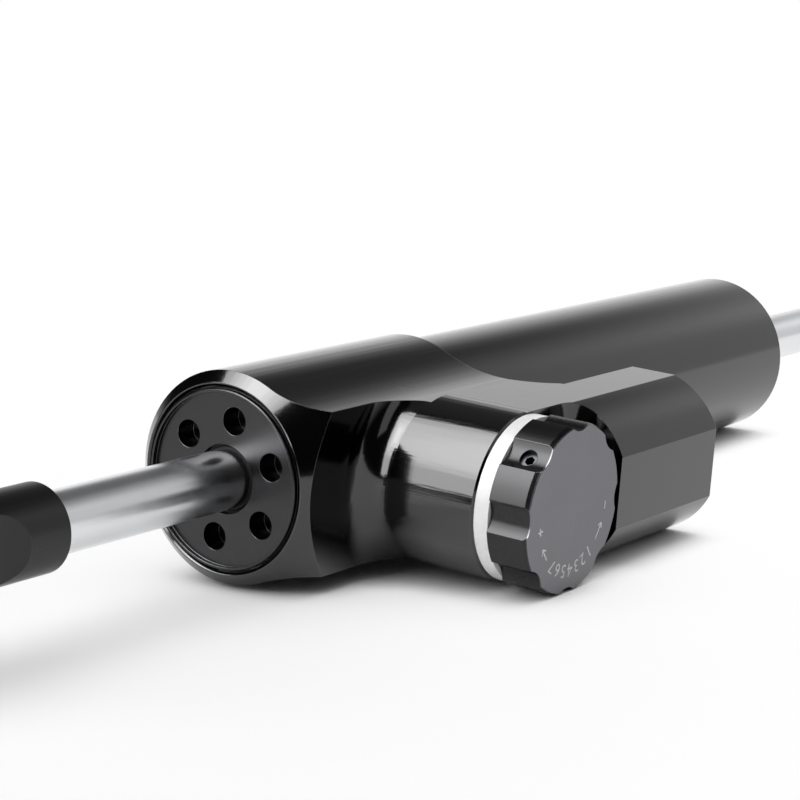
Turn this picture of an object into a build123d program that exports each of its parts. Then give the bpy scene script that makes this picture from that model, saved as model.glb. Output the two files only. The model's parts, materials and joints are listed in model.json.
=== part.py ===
from build123d import *
import os
from math import atan2, cos, pi, radians, sin, sqrt

# Steering damper with a through rod, a side reservoir and a damping adjuster.
# Millimetres. X is the rod's axis, from the rod end towards the bare tail.
# The knob points to -Y and +Z is up. The origin is on the rod's axis, in the
# middle of the bare barrel tube, where the damper is clamped.

# Travel and lengths along the rod
STROKE = 120.0
TRAVEL_IN = 41.0
CLOSED_GAP = 2.25
TAIL_RESERVE = 11.0
PISTON_LENGTH = 12.0
GLAND_DEPTH = 20.3
GLAND_TO_KNOB = 9.3
KNOB_TO_BLOCK_BACK = 23.0
ROD_THREAD_LENGTH = 14.0

# Diameters on the rod's axis
ROD_DIAMETER = 10.0
ROD_THREAD_DIAMETER = 8.0
LINER_BORE = 25.0
LINER_WALL = 1.1
OIL_GAP = 1.0
TUBE_WALL = 1.8
BLOCK_DIAMETER = 35.8
CAP_DIAMETER = 30.3

# Clearances and edge breaks
RUNNING_CLEARANCE = 0.03
SEAT_CLEARANCE = 0.03
SIDE_CLEARANCE = 0.05
EDGE_BREAK = 0.4

# Block front: end chamfer, side wall and web
CHAMFER_SETBACK = 1.7
CHAMFER_DROP = 1.85
SIDE_WALL_OFFSET = 17.2
WEB_HALF_THICKNESS = 13.65
WEB_BLEND_RADIUS = 30.0
TUBE_SOCKET_DEPTH = 12.0
TUBE_SHOULDER = 0.3
LINER_LAND_LENGTH = 8.0

# Adjuster boss and its stack, measured out from the rod's axis
BOSS_DIAMETER = 28.6
BOSS_ROOT_RADIUS = 5.2
BOSS_END = 38.95
RING_WIDTH = 2.65
RING_DIAMETER = 27.9
RING_WALL = 1.8
KNOB_GAP = 0.1
KNOB_WIDTH = 7.5
KNOB_DIAMETER = 28.7
KNOB_BEVEL_WIDTH = 0.9
KNOB_BEVEL_DROP = 0.45
KNOB_WEB = 2.0
KNOB_TURNING_ROOM = 0.25
HUB_GAP = 0.4
HUB_CLEARANCE = 0.2
SCALLOP_COUNT = 8
SCALLOP_RADIUS = 4.2
SCALLOP_DEPTH = 1.2
SET_SCREW_ANGLE = 135.0
SET_SCREW_DIAMETER = 3.0
SET_SCREW_LENGTH = 10.0
SET_SCREW_KEY = 1.5
SET_SCREW_KEY_DEPTH = 2.0
SPINDLE_DIAMETER = 6.0
SPINDLE_FLAT_DEPTH = 0.5
SPINDLE_COLLAR_DIAMETER = 8.2
SPINDLE_COLLAR_WIDTH = 1.4
SEAT_BORE_START = 16.4
SEAT_DIAMETER = 9.0
SEAT_LENGTH = 9.6
FRONT_PORT_STATION = 3.84
SPINDLE_SETBACK = 1.0
SCOOP_OFFSET = 4.2
GLAND_NUT_START = 29.0
GLAND_NUT_DIAMETER = 14.0
GLAND_NUT_SLOT = 1.6
GLAND_NUT_SLOT_DEPTH = 1.2
DETENT_RADIUS = 9.8
DETENT_BALL_DIAMETER = 2.4
DETENT_POCKET_DEPTH = 7.0
DETENT_CLICKS = 24
DETENT_DIMPLE_RADIUS = 0.6
DETENT_DIMPLE_DEPTH = 0.3
DETENT_WIRE = 0.36
DETENT_SPRING_TURNS = 4

# Reservoir beside the barrel, with its places along X measured from the knob's axis
RESERVOIR_OFFSET = 35.4
RESERVOIR_DIAMETER = 29.9
RESERVOIR_HALF_HEIGHT = 14.3
RESERVOIR_SIDE_FLAT = 49.0
RESERVOIR_END = 49.3
RESERVOIR_BORE = 23.0
RESERVOIR_FLOOR = 18.5
POCKET_WALL = 15.2
POCKET_RADIUS = 5.0
SHOULDER_INNER = 22.9
SHOULDER_END = 20.0
SHOULDER_COVE_WIDTH = 7.5
SHOULDER_COVE_LENGTH = 4.6
SHOULDER_COVE_RADIUS = 13.5
PLUG_LENGTH = 7.0
PLUG_RECESS = 0.4
PLUG_SPANNER_RADIUS = 7.6
PLUG_SPANNER_HOLE = 2.4
PLUG_SPANNER_DEPTH = 3.0
FILL_SCREW_HEAD = 8.0
FILL_SCREW_HEAD_HEIGHT = 2.0
FILL_SCREW_SHANK = 4.6
FILL_SCREW_KEY = 3.0
FILL_SCREW_KEY_DEPTH = 1.4
SEPARATOR_LENGTH = 8.0
SEPARATOR_STATION = 26.0

# Rod glands: cap, wiper, seal, bush and guide
CAP_THICKNESS = 6.2
CAP_FACE_RECESS = 0.6
CAP_RIM_PROUD = 0.35
CAP_RIM_WALL = 0.45
CAP_NECK_DROP = 0.12
CAP_OPENING = 11.7
CAP_LIP = 1.4
CAP_HOLE_COUNT = 6
CAP_HOLE_DIAMETER = 4.7
CAP_HOLE_DEPTH = 4.0
CAP_PITCH_DIAMETER = 20.1
CAP_HOLE_PHASE = 37.9
MOUTH_DEPTH = 1.5
MOUTH_GAP = 0.27
MOUTH_CHAMFER = 0.4
WIPER_DIAMETER = 13.6
WIPER_LIP_REACH = 0.4
WIPER_LIP_DIAMETER = 11.0
WIPER_LIP_TIP = 0.2
SEAL_DIAMETER = 18.0
SEAL_WIDTH = 4.0
SEAL_NOTCH_WIDTH = 1.2
SEAL_NOTCH_DEPTH = 1.8
BUSH_WALL = 1.2
GUIDE_SPIGOT = 3.0
PORT_DIAMETER = 2.2
PORT_COUNT = 4
PASSAGE_DIAMETER = 2.4

# Grooves, which their O-rings fill to the depth, and the tube's flat seal
GROOVE_DEPTH = 1.6
GROOVE_WIDTH = 2.4
SMALL_GROOVE_DEPTH = 0.9
SMALL_GROOVE_WIDTH = 1.4
TUBE_SEAL_THICKNESS = 1.5

# Piston
PISTON_RING_WIDTH = 4.0
PISTON_RING_THICKNESS = 1.3
PISTON_RUNOUT = 0.2
CIRCLIP_WIDTH = 1.0
CIRCLIP_GROOVE_DEPTH = 0.5
CIRCLIP_HEIGHT = 1.4
CIRCLIP_SETBACK = 0.2

# Rod end
SHANK_DIAMETER = 14.0
SHANK_TO_EYE = 29.0
EYE_DIAMETER = 25.0
EYE_WIDTH = 9.0
EYE_NECK_RADIUS = 7.0
EYE_RUNOUT_RADIUS = 8.0
EYE_RUNOUT_START = 8.7
RACE_WALL = 2.0
BALL_DIAMETER = 16.0
BALL_WIDTH = 12.0
BALL_BORE = 8.0
BALL_CLEARANCE = 0.06

# Radii
ROD_RADIUS = ROD_DIAMETER / 2
LINER_INSIDE = LINER_BORE / 2
LINER_OUTSIDE = LINER_INSIDE + LINER_WALL
TUBE_INSIDE = LINER_OUTSIDE + OIL_GAP
TUBE_OUTSIDE = TUBE_INSIDE + TUBE_WALL
TUBE_SPIGOT = TUBE_OUTSIDE - TUBE_SHOULDER
BLOCK_RADIUS = BLOCK_DIAMETER / 2
CAP_BORE_RADIUS = CAP_DIAMETER / 2 + SEAT_CLEARANCE
LAND_RADIUS = BLOCK_RADIUS - CHAMFER_DROP
BOSS_RADIUS = BOSS_DIAMETER / 2
RING_RADIUS = RING_DIAMETER / 2
KNOB_RADIUS = KNOB_DIAMETER / 2
SPINDLE_RADIUS = SPINDLE_DIAMETER / 2
BALL_RADIUS = BALL_DIAMETER / 2
RACE_RADIUS = BALL_RADIUS + RACE_WALL
SHANK_RADIUS = SHANK_DIAMETER / 2
PLUG_RADIUS = RESERVOIR_BORE / 2 - SEAT_CLEARANCE
CLIP_INSIDE = ROD_RADIUS - CIRCLIP_GROOVE_DEPTH + SEAT_CLEARANCE

# Places along X
KNOB_STATION = GLAND_DEPTH + GLAND_TO_KNOB
BLOCK_LENGTH = KNOB_STATION + KNOB_TO_BLOCK_BACK
BODY_LENGTH = 2 * GLAND_DEPTH + STROKE + PISTON_LENGTH
FRONT = -(BODY_LENGTH + BLOCK_LENGTH) / 2
BACK = FRONT + BODY_LENGTH
BLOCK_BACK = FRONT + BLOCK_LENGTH
KNOB_X = FRONT + KNOB_STATION
CAP_FACE = FRONT + CAP_FACE_RECESS
WIPER_START = CAP_FACE + CAP_LIP
GUIDE_LENGTH = GLAND_DEPTH - CAP_THICKNESS - GUIDE_SPIGOT
LINER_FRONT = FRONT + CAP_THICKNESS + GUIDE_LENGTH
LINER_BACK = BACK - CAP_THICKNESS - GUIDE_LENGTH
TUBE_FRONT = BLOCK_BACK - TUBE_SOCKET_DEPTH
LAND_FRONT = KNOB_X - LINER_LAND_LENGTH / 2
LAND_BACK = KNOB_X + LINER_LAND_LENGTH / 2
COLLAR_FACE = FRONT - CLOSED_GAP - TRAVEL_IN
PISTON_BACK = BACK - GLAND_DEPTH - TRAVEL_IN
PISTON_FRONT = PISTON_BACK - PISTON_LENGTH
FRONT_CLIP = PISTON_FRONT + CIRCLIP_SETBACK
BACK_CLIP = PISTON_BACK - CIRCLIP_SETBACK - CIRCLIP_WIDTH
TAIL_END = BACK + STROKE - TRAVEL_IN + TAIL_RESERVE
EYE_X = COLLAR_FACE - SHANK_TO_EYE
FRONT_PORT_X = KNOB_X - SEAT_DIAMETER / 2 - PASSAGE_DIAMETER
BACK_PORT_X = LINER_BACK - GUIDE_SPIGOT - PORT_DIAMETER
RESERVOIR_BACK = KNOB_X + RESERVOIR_END
RESERVOIR_START = KNOB_X + RESERVOIR_FLOOR
PLUG_BACK = RESERVOIR_BACK - PLUG_RECESS
PLUG_FRONT = PLUG_BACK - PLUG_LENGTH

# Places out along the knob's axis
RING_END = BOSS_END + RING_WIDTH
KNOB_BASE = RING_END + KNOB_GAP
KNOB_FACE = KNOB_BASE + KNOB_WIDTH
HUB_FACE = BOSS_END + HUB_GAP
SEAT_START = SEAT_BORE_START + SEAT_CLEARANCE
SEAT_END = SEAT_START + SEAT_LENGTH
SPINDLE_START = SEAT_START + SPINDLE_SETBACK
FRONT_PORT_OUT = SEAT_START + FRONT_PORT_STATION
FEED_PORT_OUT = SEAT_END - PASSAGE_DIAMETER
SPINDLE_END = KNOB_FACE - KNOB_WEB
SET_SCREW_OUT = (KNOB_BASE + KNOB_FACE) / 2
FAR_OUT = RESERVOIR_SIDE_FLAT + KNOB_RADIUS


def turned(points):
    """Solid of revolution about the rod's axis, from points (x, radius)."""
    outline = make_face(Polyline(*points, close=True))
    return revolve(outline, Axis.X, 360)


def ring_x(start, end, inside, outside):
    return turned([(start, inside), (end, inside), (end, outside), (start, outside)])


def knob_turned(points):
    """Solid of revolution about the knob's axis, from points (radius, distance out)."""
    outline = make_face(Polyline(*[(KNOB_X + radius, -out) for radius, out in points], close=True))
    return revolve(outline, Axis((KNOB_X, 0, 0), (0, 1, 0)), 360)


def knob_ring(start, end, inside, outside):
    return knob_turned([(inside, start), (inside, end), (outside, end), (outside, start)])


def reservoir_turned(points):
    """Solid of revolution about the reservoir's axis, from points (x, radius)."""
    return Pos(0, -RESERVOIR_OFFSET, 0) * turned(points)


def bar(start, end, radius):
    """Round bar between two points."""
    line = Vector(*end) - Vector(*start)
    plane = Plane(origin=start, z_dir=line)
    return plane * Cylinder(radius, line.length, align=(Align.CENTER, Align.CENTER, Align.MIN))


def hexagon_bar(start, end, across_flats):
    line = Vector(*end) - Vector(*start)
    plane = Plane(origin=start, z_dir=line)
    return extrude(plane * RegularPolygon(across_flats / 2, 6, major_radius=False), line.length)


def cord_ring(x, middle_radius, cord):
    """O-ring about the rod's axis."""
    return revolve(Pos(x, middle_radius) * Circle(cord / 2), Axis.X, 360)


def box_between(low, high):
    size = [high[i] - low[i] for i in range(3)]
    middle = [(high[i] + low[i]) / 2 for i in range(3)]
    return Pos(*middle) * Box(*size)


def mirrored_to_back(shape):
    """The same gland piece at the barrel's other end."""
    return Pos(FRONT + BACK, 0, 0) * mirror(shape, Plane.YZ)


def knob_direction(angle):
    """Unit vector across the knob's axis, as (x, z)."""
    return cos(radians(angle)), sin(radians(angle))


# Block that carries the barrel tube, the adjuster and the reservoir

def block_section():
    """Barrel circle blended into the flat-sided web towards -Y, in local (y, z)."""
    centre_height = WEB_HALF_THICKNESS + WEB_BLEND_RADIUS
    run = sqrt((BLOCK_RADIUS + WEB_BLEND_RADIUS) ** 2 - centre_height ** 2)
    share = BLOCK_RADIUS / (BLOCK_RADIUS + WEB_BLEND_RADIUS)
    touch = (-run * share, centre_height * share)
    start_angle = atan2(-centre_height, run)
    middle_angle = (start_angle - pi / 2) / 2
    middle = (
        -run + WEB_BLEND_RADIUS * cos(middle_angle),
        centre_height + WEB_BLEND_RADIUS * sin(middle_angle),
    )
    foot = (-run, WEB_HALF_THICKNESS)
    edge = (-RESERVOIR_OFFSET, WEB_HALF_THICKNESS)
    outline = [
        ThreePointArc(touch, middle, foot),
        Line(foot, edge),
        Line(edge, (edge[0], -edge[1])),
        Line((edge[0], -edge[1]), (foot[0], -foot[1])),
        ThreePointArc((foot[0], -foot[1]), (middle[0], -middle[1]), (touch[0], -touch[1])),
        Line((touch[0], -touch[1]), touch),
    ]
    return make_face(outline) + Circle(BLOCK_RADIUS)


def block_front(section):
    """Front length of the block: flat side wall and coned end."""
    length = extrude(Plane.YZ.offset(FRONT) * section, KNOB_STATION)
    beyond_wall = box_between(
        (FRONT, -FAR_OUT, -BLOCK_RADIUS), (KNOB_X, -SIDE_WALL_OFFSET, BLOCK_RADIUS)
    )
    cone_growth = KNOB_STATION * CHAMFER_DROP / CHAMFER_SETBACK
    cone = turned([
        (FRONT, 0),
        (FRONT, LAND_RADIUS),
        (KNOB_X, LAND_RADIUS + cone_growth),
        (KNOB_X, 0),
    ])
    return (length - beyond_wall) & cone


def block_rear(section):
    length = extrude(Plane.YZ.offset(KNOB_X) * section, BLOCK_LENGTH - KNOB_STATION)
    return chamfer(length.faces().sort_by(Axis.X)[-1].edges(), EDGE_BREAK)


def adjuster_boss(section):
    """Round boss for the adjuster. Its root and inner end are milled down to the web's height."""
    boss = knob_turned([
        (0, SHOULDER_INNER),
        (BOSS_RADIUS, SHOULDER_INNER),
        (BOSS_RADIUS, BOSS_END - EDGE_BREAK),
        (BOSS_RADIUS - EDGE_BREAK, BOSS_END),
        (0, BOSS_END),
    ])
    inner_end = knob_ring(SEAT_BORE_START, SHOULDER_INNER, 0, BOSS_RADIUS)
    root_out = SIDE_WALL_OFFSET + BOSS_ROOT_RADIUS
    root_reach = BOSS_RADIUS + BOSS_ROOT_RADIUS
    corner = (KNOB_X + BOSS_RADIUS, -SIDE_WALL_OFFSET)
    wall_point = (KNOB_X + root_reach, -SIDE_WALL_OFFSET)
    boss_point = (KNOB_X + BOSS_RADIUS, -root_out)
    middle = (
        KNOB_X + root_reach - BOSS_ROOT_RADIUS * sin(pi / 4),
        -root_out + BOSS_ROOT_RADIUS * cos(pi / 4),
    )
    outline = make_face([
        Line(corner, wall_point),
        ThreePointArc(wall_point, middle, boss_point),
        Line(boss_point, corner),
    ])
    root = revolve(outline, Axis((KNOB_X, 0, 0), (0, 1, 0)), 360)
    front_web = extrude(Plane.YZ.offset(FRONT) * section, KNOB_STATION)
    return boss + (inner_end & front_web) + (root & front_web)


def reservoir_housing():
    """Round reservoir with flats on top, below and on its outer side."""
    radius = RESERVOIR_DIAMETER / 2
    outer_reach = RESERVOIR_SIDE_FLAT - RESERVOIR_OFFSET
    inside_flats = Rectangle(radius + outer_reach, 2 * RESERVOIR_HALF_HEIGHT)
    section = Circle(radius) & (Pos((radius - outer_reach) / 2, 0) * inside_flats)
    housing = extrude(Plane.YZ.offset(KNOB_X) * Pos(-RESERVOIR_OFFSET, 0) * section, RESERVOIR_END)
    return chamfer(housing.faces().sort_by(Axis.X)[-1].edges(), EDGE_BREAK)


def shoulder():
    """Raised flat that joins the boss and the reservoir, with a cove at its end."""
    end_x = KNOB_X + SHOULDER_END
    cove_end = (end_x + SHOULDER_COVE_LENGTH, -SHOULDER_INNER - SHOULDER_COVE_WIDTH)
    outline = make_face([
        Line((KNOB_X, -RESERVOIR_OFFSET), (KNOB_X, -SHOULDER_INNER)),
        Line((KNOB_X, -SHOULDER_INNER), (end_x, -SHOULDER_INNER)),
        RadiusArc((end_x, -SHOULDER_INNER), cove_end, -SHOULDER_COVE_RADIUS),
        Line(cove_end, (cove_end[0], -RESERVOIR_OFFSET)),
        Line((cove_end[0], -RESERVOIR_OFFSET), (KNOB_X, -RESERVOIR_OFFSET)),
    ])
    return extrude(outline, RESERVOIR_HALF_HEIGHT, both=True)


def knob_pocket():
    """Space milled into the reservoir's side so that the knob can turn."""
    wall_x = KNOB_X + POCKET_WALL
    middle = (
        wall_x - POCKET_RADIUS + POCKET_RADIUS * cos(pi / 4),
        -BOSS_END - POCKET_RADIUS + POCKET_RADIUS * sin(pi / 4),
    )
    left_x = KNOB_X - KNOB_RADIUS
    outline = make_face([
        Line((left_x, -BOSS_END), (wall_x - POCKET_RADIUS, -BOSS_END)),
        ThreePointArc((wall_x - POCKET_RADIUS, -BOSS_END), middle, (wall_x, -BOSS_END - POCKET_RADIUS)),
        Line((wall_x, -BOSS_END - POCKET_RADIUS), (wall_x, -FAR_OUT)),
        Line((wall_x, -FAR_OUT), (left_x, -FAR_OUT)),
        Line((left_x, -FAR_OUT), (left_x, -BOSS_END)),
    ])
    turning_room = knob_ring(BOSS_END, FAR_OUT, 0, KNOB_RADIUS + KNOB_TURNING_ROOM)
    return extrude(outline, BLOCK_RADIUS, both=True) + turning_room


def main_bore():
    mouth = CAP_BORE_RADIUS + MOUTH_GAP
    return turned([
        (FRONT, 0),
        (FRONT, mouth + MOUTH_CHAMFER),
        (FRONT + MOUTH_CHAMFER, mouth),
        (FRONT + MOUTH_DEPTH, mouth),
        (FRONT + MOUTH_DEPTH, CAP_BORE_RADIUS),
        (LINER_FRONT, CAP_BORE_RADIUS),
        (LINER_FRONT, TUBE_INSIDE),
        (LAND_FRONT, TUBE_INSIDE),
        (LAND_FRONT, LINER_OUTSIDE + SEAT_CLEARANCE),
        (LAND_BACK, LINER_OUTSIDE + SEAT_CLEARANCE),
        (LAND_BACK, TUBE_INSIDE),
        (TUBE_FRONT, TUBE_INSIDE),
        (TUBE_FRONT, TUBE_SPIGOT + SEAT_CLEARANCE),
        (BLOCK_BACK, TUBE_SPIGOT + SEAT_CLEARANCE),
        (BLOCK_BACK, 0),
    ])


def valve_bores():
    """Stepped bore for the adjuster stack and the pocket for its detent."""
    seat_bore = knob_ring(SEAT_BORE_START, GLAND_NUT_START, 0, SEAT_DIAMETER / 2 + SEAT_CLEARANCE)
    nut_bore = knob_ring(GLAND_NUT_START, BOSS_END, 0, GLAND_NUT_DIAMETER / 2 + SEAT_CLEARANCE)
    pocket = bar(
        (KNOB_X, -BOSS_END, -DETENT_RADIUS),
        (KNOB_X, -BOSS_END + DETENT_POCKET_DEPTH, -DETENT_RADIUS),
        DETENT_BALL_DIAMETER / 2 + SEAT_CLEARANCE,
    )
    return seat_bore + nut_bore + pocket


def drilling(start, end):
    """Oil hole between two points (x, distance out) on the block's mid plane."""
    return bar((start[0], -start[1], 0), (end[0], -end[1], 0), PASSAGE_DIAMETER / 2)


def oil_passages():
    """Drillings from both oil spaces round the liner to the valve, and to the reservoir."""
    oil_space = LINER_OUTSIDE + OIL_GAP / 2
    back_x = (LAND_BACK + TUBE_FRONT) / 2
    reservoir_entry = RESERVOIR_OFFSET - RESERVOIR_BORE / 2 + PASSAGE_DIAMETER
    passages = drilling((FRONT_PORT_X, oil_space), (FRONT_PORT_X, FRONT_PORT_OUT + PASSAGE_DIAMETER))
    passages += drilling((FRONT_PORT_X, FRONT_PORT_OUT), (KNOB_X - SEAT_DIAMETER / 4, FRONT_PORT_OUT))
    passages += drilling((back_x, oil_space), (back_x, FEED_PORT_OUT + PASSAGE_DIAMETER))
    feed_start = (KNOB_X + SEAT_DIAMETER / 4, FEED_PORT_OUT)
    feed_end = (RESERVOIR_START + PASSAGE_DIAMETER, reservoir_entry)
    return passages + drilling(feed_start, feed_end)


def reservoir_bore():
    return reservoir_turned([
        (RESERVOIR_START, 0),
        (RESERVOIR_START, RESERVOIR_BORE / 2),
        (RESERVOIR_BACK, RESERVOIR_BORE / 2),
        (RESERVOIR_BACK, 0),
    ])


def valve_block():
    section = block_section()
    block = block_front(section) + block_rear(section)
    block += adjuster_boss(section)
    block += reservoir_housing()
    block += shoulder()
    block -= knob_pocket()
    block -= main_bore()
    block -= valve_bores()
    block -= oil_passages()
    block -= reservoir_bore()
    return block


# Barrel

def outer_tube():
    """Barrel tube: a spigot for the block's socket, the bare clamp seat and the rear cap's mouth."""
    start = TUBE_FRONT + TUBE_SEAL_THICKNESS
    mouth = TUBE_INSIDE + MOUTH_GAP
    return turned([
        (start, TUBE_INSIDE),
        (BACK - MOUTH_DEPTH, TUBE_INSIDE),
        (BACK - MOUTH_DEPTH, mouth),
        (BACK - MOUTH_CHAMFER, mouth),
        (BACK, mouth + MOUTH_CHAMFER),
        (BACK, TUBE_OUTSIDE - EDGE_BREAK),
        (BACK - EDGE_BREAK, TUBE_OUTSIDE),
        (BLOCK_BACK, TUBE_OUTSIDE),
        (BLOCK_BACK, TUBE_SPIGOT),
        (start, TUBE_SPIGOT),
    ])


def tube_seal():
    return ring_x(TUBE_FRONT, TUBE_FRONT + TUBE_SEAL_THICKNESS, TUBE_INSIDE, TUBE_SPIGOT)


def inner_liner():
    liner = ring_x(LINER_FRONT, LINER_BACK, LINER_INSIDE, LINER_OUTSIDE)
    for port_x in (FRONT_PORT_X, BACK_PORT_X):
        for index in range(PORT_COUNT):
            angle = 2 * pi * index / PORT_COUNT
            outer = (port_x, TUBE_INSIDE * cos(angle), TUBE_INSIDE * sin(angle))
            liner -= bar((port_x, 0, 0), outer, PORT_DIAMETER / 2)
    return liner


# Glands, drawn at the front end and mirrored to the back

def gland_cap(outside):
    """Dished screw cap: a thin rim stands round the face that has the spanner holes."""
    rim = FRONT - CAP_RIM_PROUD
    neck = outside - CAP_NECK_DROP
    rim_edge = CAP_RIM_WALL / 3
    cap = turned([
        (CAP_FACE, CAP_OPENING / 2),
        (CAP_FACE, neck - CAP_RIM_WALL),
        (rim, neck - CAP_RIM_WALL),
        (rim, neck - rim_edge),
        (rim + rim_edge, neck),
        (FRONT + MOUTH_DEPTH, neck),
        (FRONT + MOUTH_DEPTH, outside),
        (FRONT + CAP_THICKNESS, outside),
        (FRONT + CAP_THICKNESS, WIPER_DIAMETER / 2 + SEAT_CLEARANCE),
        (WIPER_START, WIPER_DIAMETER / 2 + SEAT_CLEARANCE),
        (WIPER_START, CAP_OPENING / 2),
    ])
    for index in range(CAP_HOLE_COUNT):
        angle = radians(CAP_HOLE_PHASE) + 2 * pi * index / CAP_HOLE_COUNT
        y = CAP_PITCH_DIAMETER / 2 * cos(angle)
        z = CAP_PITCH_DIAMETER / 2 * sin(angle)
        cap -= bar((CAP_FACE, y, z), (CAP_FACE + CAP_HOLE_DEPTH, y, z), CAP_HOLE_DIAMETER / 2)
    return cap


def wiper():
    """Dust wiper in the cap, with a lip that points out along the rod."""
    bore = ROD_RADIUS + RUNNING_CLEARANCE
    return turned([
        (WIPER_START - WIPER_LIP_REACH, bore),
        (WIPER_START - WIPER_LIP_REACH, bore + WIPER_LIP_TIP),
        (WIPER_START, WIPER_LIP_DIAMETER / 2),
        (WIPER_START, WIPER_DIAMETER / 2),
        (FRONT + CAP_THICKNESS, WIPER_DIAMETER / 2),
        (FRONT + CAP_THICKNESS, bore),
    ])


def rod_guide(outside):
    """Guide that closes the oil space: seal pocket, bush seat and liner spigot."""
    start = FRONT + CAP_THICKNESS
    groove_x = (start + SEAL_WIDTH + LINER_FRONT) / 2
    half_groove = GROOVE_WIDTH / 2
    bush_seat = ROD_RADIUS + RUNNING_CLEARANCE + BUSH_WALL
    spigot = LINER_INSIDE - SEAT_CLEARANCE
    return turned([
        (start, SEAL_DIAMETER / 2 + SEAT_CLEARANCE),
        (start, outside),
        (groove_x - half_groove, outside),
        (groove_x - half_groove, outside - GROOVE_DEPTH),
        (groove_x + half_groove, outside - GROOVE_DEPTH),
        (groove_x + half_groove, outside),
        (LINER_FRONT, outside),
        (LINER_FRONT, spigot),
        (LINER_FRONT + GUIDE_SPIGOT, spigot),
        (LINER_FRONT + GUIDE_SPIGOT, bush_seat),
        (start + SEAL_WIDTH, bush_seat),
        (start + SEAL_WIDTH, SEAL_DIAMETER / 2 + SEAT_CLEARANCE),
    ])


def guide_o_ring(outside):
    groove_x = (FRONT + CAP_THICKNESS + SEAL_WIDTH + LINER_FRONT) / 2
    cord = GROOVE_DEPTH
    return cord_ring(groove_x, outside - GROOVE_DEPTH + cord / 2, cord)


def guide_bush():
    bore = ROD_RADIUS + RUNNING_CLEARANCE
    start = FRONT + CAP_THICKNESS + SEAL_WIDTH
    return ring_x(start, LINER_FRONT + GUIDE_SPIGOT, bore, bore + BUSH_WALL)


def rod_seal():
    """U-cup seal whose open side faces the oil."""
    bore = ROD_RADIUS + RUNNING_CLEARANCE
    start = FRONT + CAP_THICKNESS
    end = start + SEAL_WIDTH
    middle = (bore + SEAL_DIAMETER / 2) / 2
    return turned([
        (start, bore),
        (start, SEAL_DIAMETER / 2),
        (end, SEAL_DIAMETER / 2),
        (end, middle + SEAL_NOTCH_WIDTH / 2),
        (end - SEAL_NOTCH_DEPTH, middle),
        (end, middle - SEAL_NOTCH_WIDTH / 2),
        (end, bore),
    ])


# Adjuster

def valve_seat():
    """Sleeve with one side port for each oil passage."""
    seat = knob_ring(SEAT_START, SEAT_END, SPINDLE_RADIUS + RUNNING_CLEARANCE, SEAT_DIAMETER / 2)
    seat -= drilling((KNOB_X, FRONT_PORT_OUT), (KNOB_X - SEAT_DIAMETER, FRONT_PORT_OUT))
    return seat - drilling((KNOB_X, FEED_PORT_OUT), (KNOB_X + SEAT_DIAMETER, FEED_PORT_OUT))


def metering_spindle():
    """Rotary valve spindle: eccentric oil scoop, captive collar and driven flat."""
    collar_start = (SEAT_END + GLAND_NUT_START - SPINDLE_COLLAR_WIDTH) / 2
    collar_end = collar_start + SPINDLE_COLLAR_WIDTH
    groove_out = (GLAND_NUT_START + BOSS_END) / 2
    groove_radius = SPINDLE_RADIUS - SMALL_GROOVE_DEPTH
    spindle = knob_turned([
        (0, SPINDLE_START),
        (SPINDLE_RADIUS, SPINDLE_START),
        (SPINDLE_RADIUS, collar_start),
        (SPINDLE_COLLAR_DIAMETER / 2, collar_start),
        (SPINDLE_COLLAR_DIAMETER / 2, collar_end),
        (SPINDLE_RADIUS, collar_end),
        (SPINDLE_RADIUS, groove_out - SMALL_GROOVE_WIDTH / 2),
        (groove_radius, groove_out - SMALL_GROOVE_WIDTH / 2),
        (groove_radius, groove_out + SMALL_GROOVE_WIDTH / 2),
        (SPINDLE_RADIUS, groove_out + SMALL_GROOVE_WIDTH / 2),
        (SPINDLE_RADIUS, SPINDLE_END - EDGE_BREAK),
        (SPINDLE_RADIUS - EDGE_BREAK, SPINDLE_END),
        (0, SPINDLE_END),
    ])
    scoop_start = FRONT_PORT_OUT - PASSAGE_DIAMETER / 2
    scoop_end = FEED_PORT_OUT + PASSAGE_DIAMETER / 2
    scoop = bar((KNOB_X, -scoop_start, SCOOP_OFFSET), (KNOB_X, -scoop_end, SCOOP_OFFSET), SPINDLE_RADIUS)
    across_x, across_z = knob_direction(SET_SCREW_ANGLE)
    flat_centre = 2 * SPINDLE_RADIUS - SPINDLE_FLAT_DEPTH
    flat_plane = Plane(
        origin=(KNOB_X + flat_centre * across_x, -(HUB_FACE + SPINDLE_END) / 2, flat_centre * across_z),
        x_dir=(0, 1, 0),
        z_dir=(across_x, 0, across_z),
    )
    flat = flat_plane * Box(SPINDLE_END - HUB_FACE, 2 * SPINDLE_RADIUS, 2 * SPINDLE_RADIUS)
    return spindle - scoop - flat


def spindle_o_ring():
    groove_out = (GLAND_NUT_START + BOSS_END) / 2
    inside = SPINDLE_RADIUS - SMALL_GROOVE_DEPTH
    cord = SMALL_GROOVE_DEPTH
    section = Pos(KNOB_X + inside + cord / 2, -groove_out) * Circle(cord / 2)
    return revolve(section, Axis((KNOB_X, 0, 0), (0, 1, 0)), 360)


def adjuster_gland_nut():
    nut = knob_ring(
        GLAND_NUT_START, BOSS_END - EDGE_BREAK, SPINDLE_RADIUS + RUNNING_CLEARANCE, GLAND_NUT_DIAMETER / 2
    )
    slot_start = BOSS_END - EDGE_BREAK - GLAND_NUT_SLOT_DEPTH
    slot = box_between(
        (KNOB_X - GLAND_NUT_DIAMETER, -BOSS_END, -GLAND_NUT_SLOT / 2),
        (KNOB_X + GLAND_NUT_DIAMETER, -slot_start, GLAND_NUT_SLOT / 2),
    )
    return nut - slot


def index_ring():
    return knob_ring(BOSS_END, RING_END, RING_RADIUS - RING_WALL, RING_RADIUS)


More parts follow.
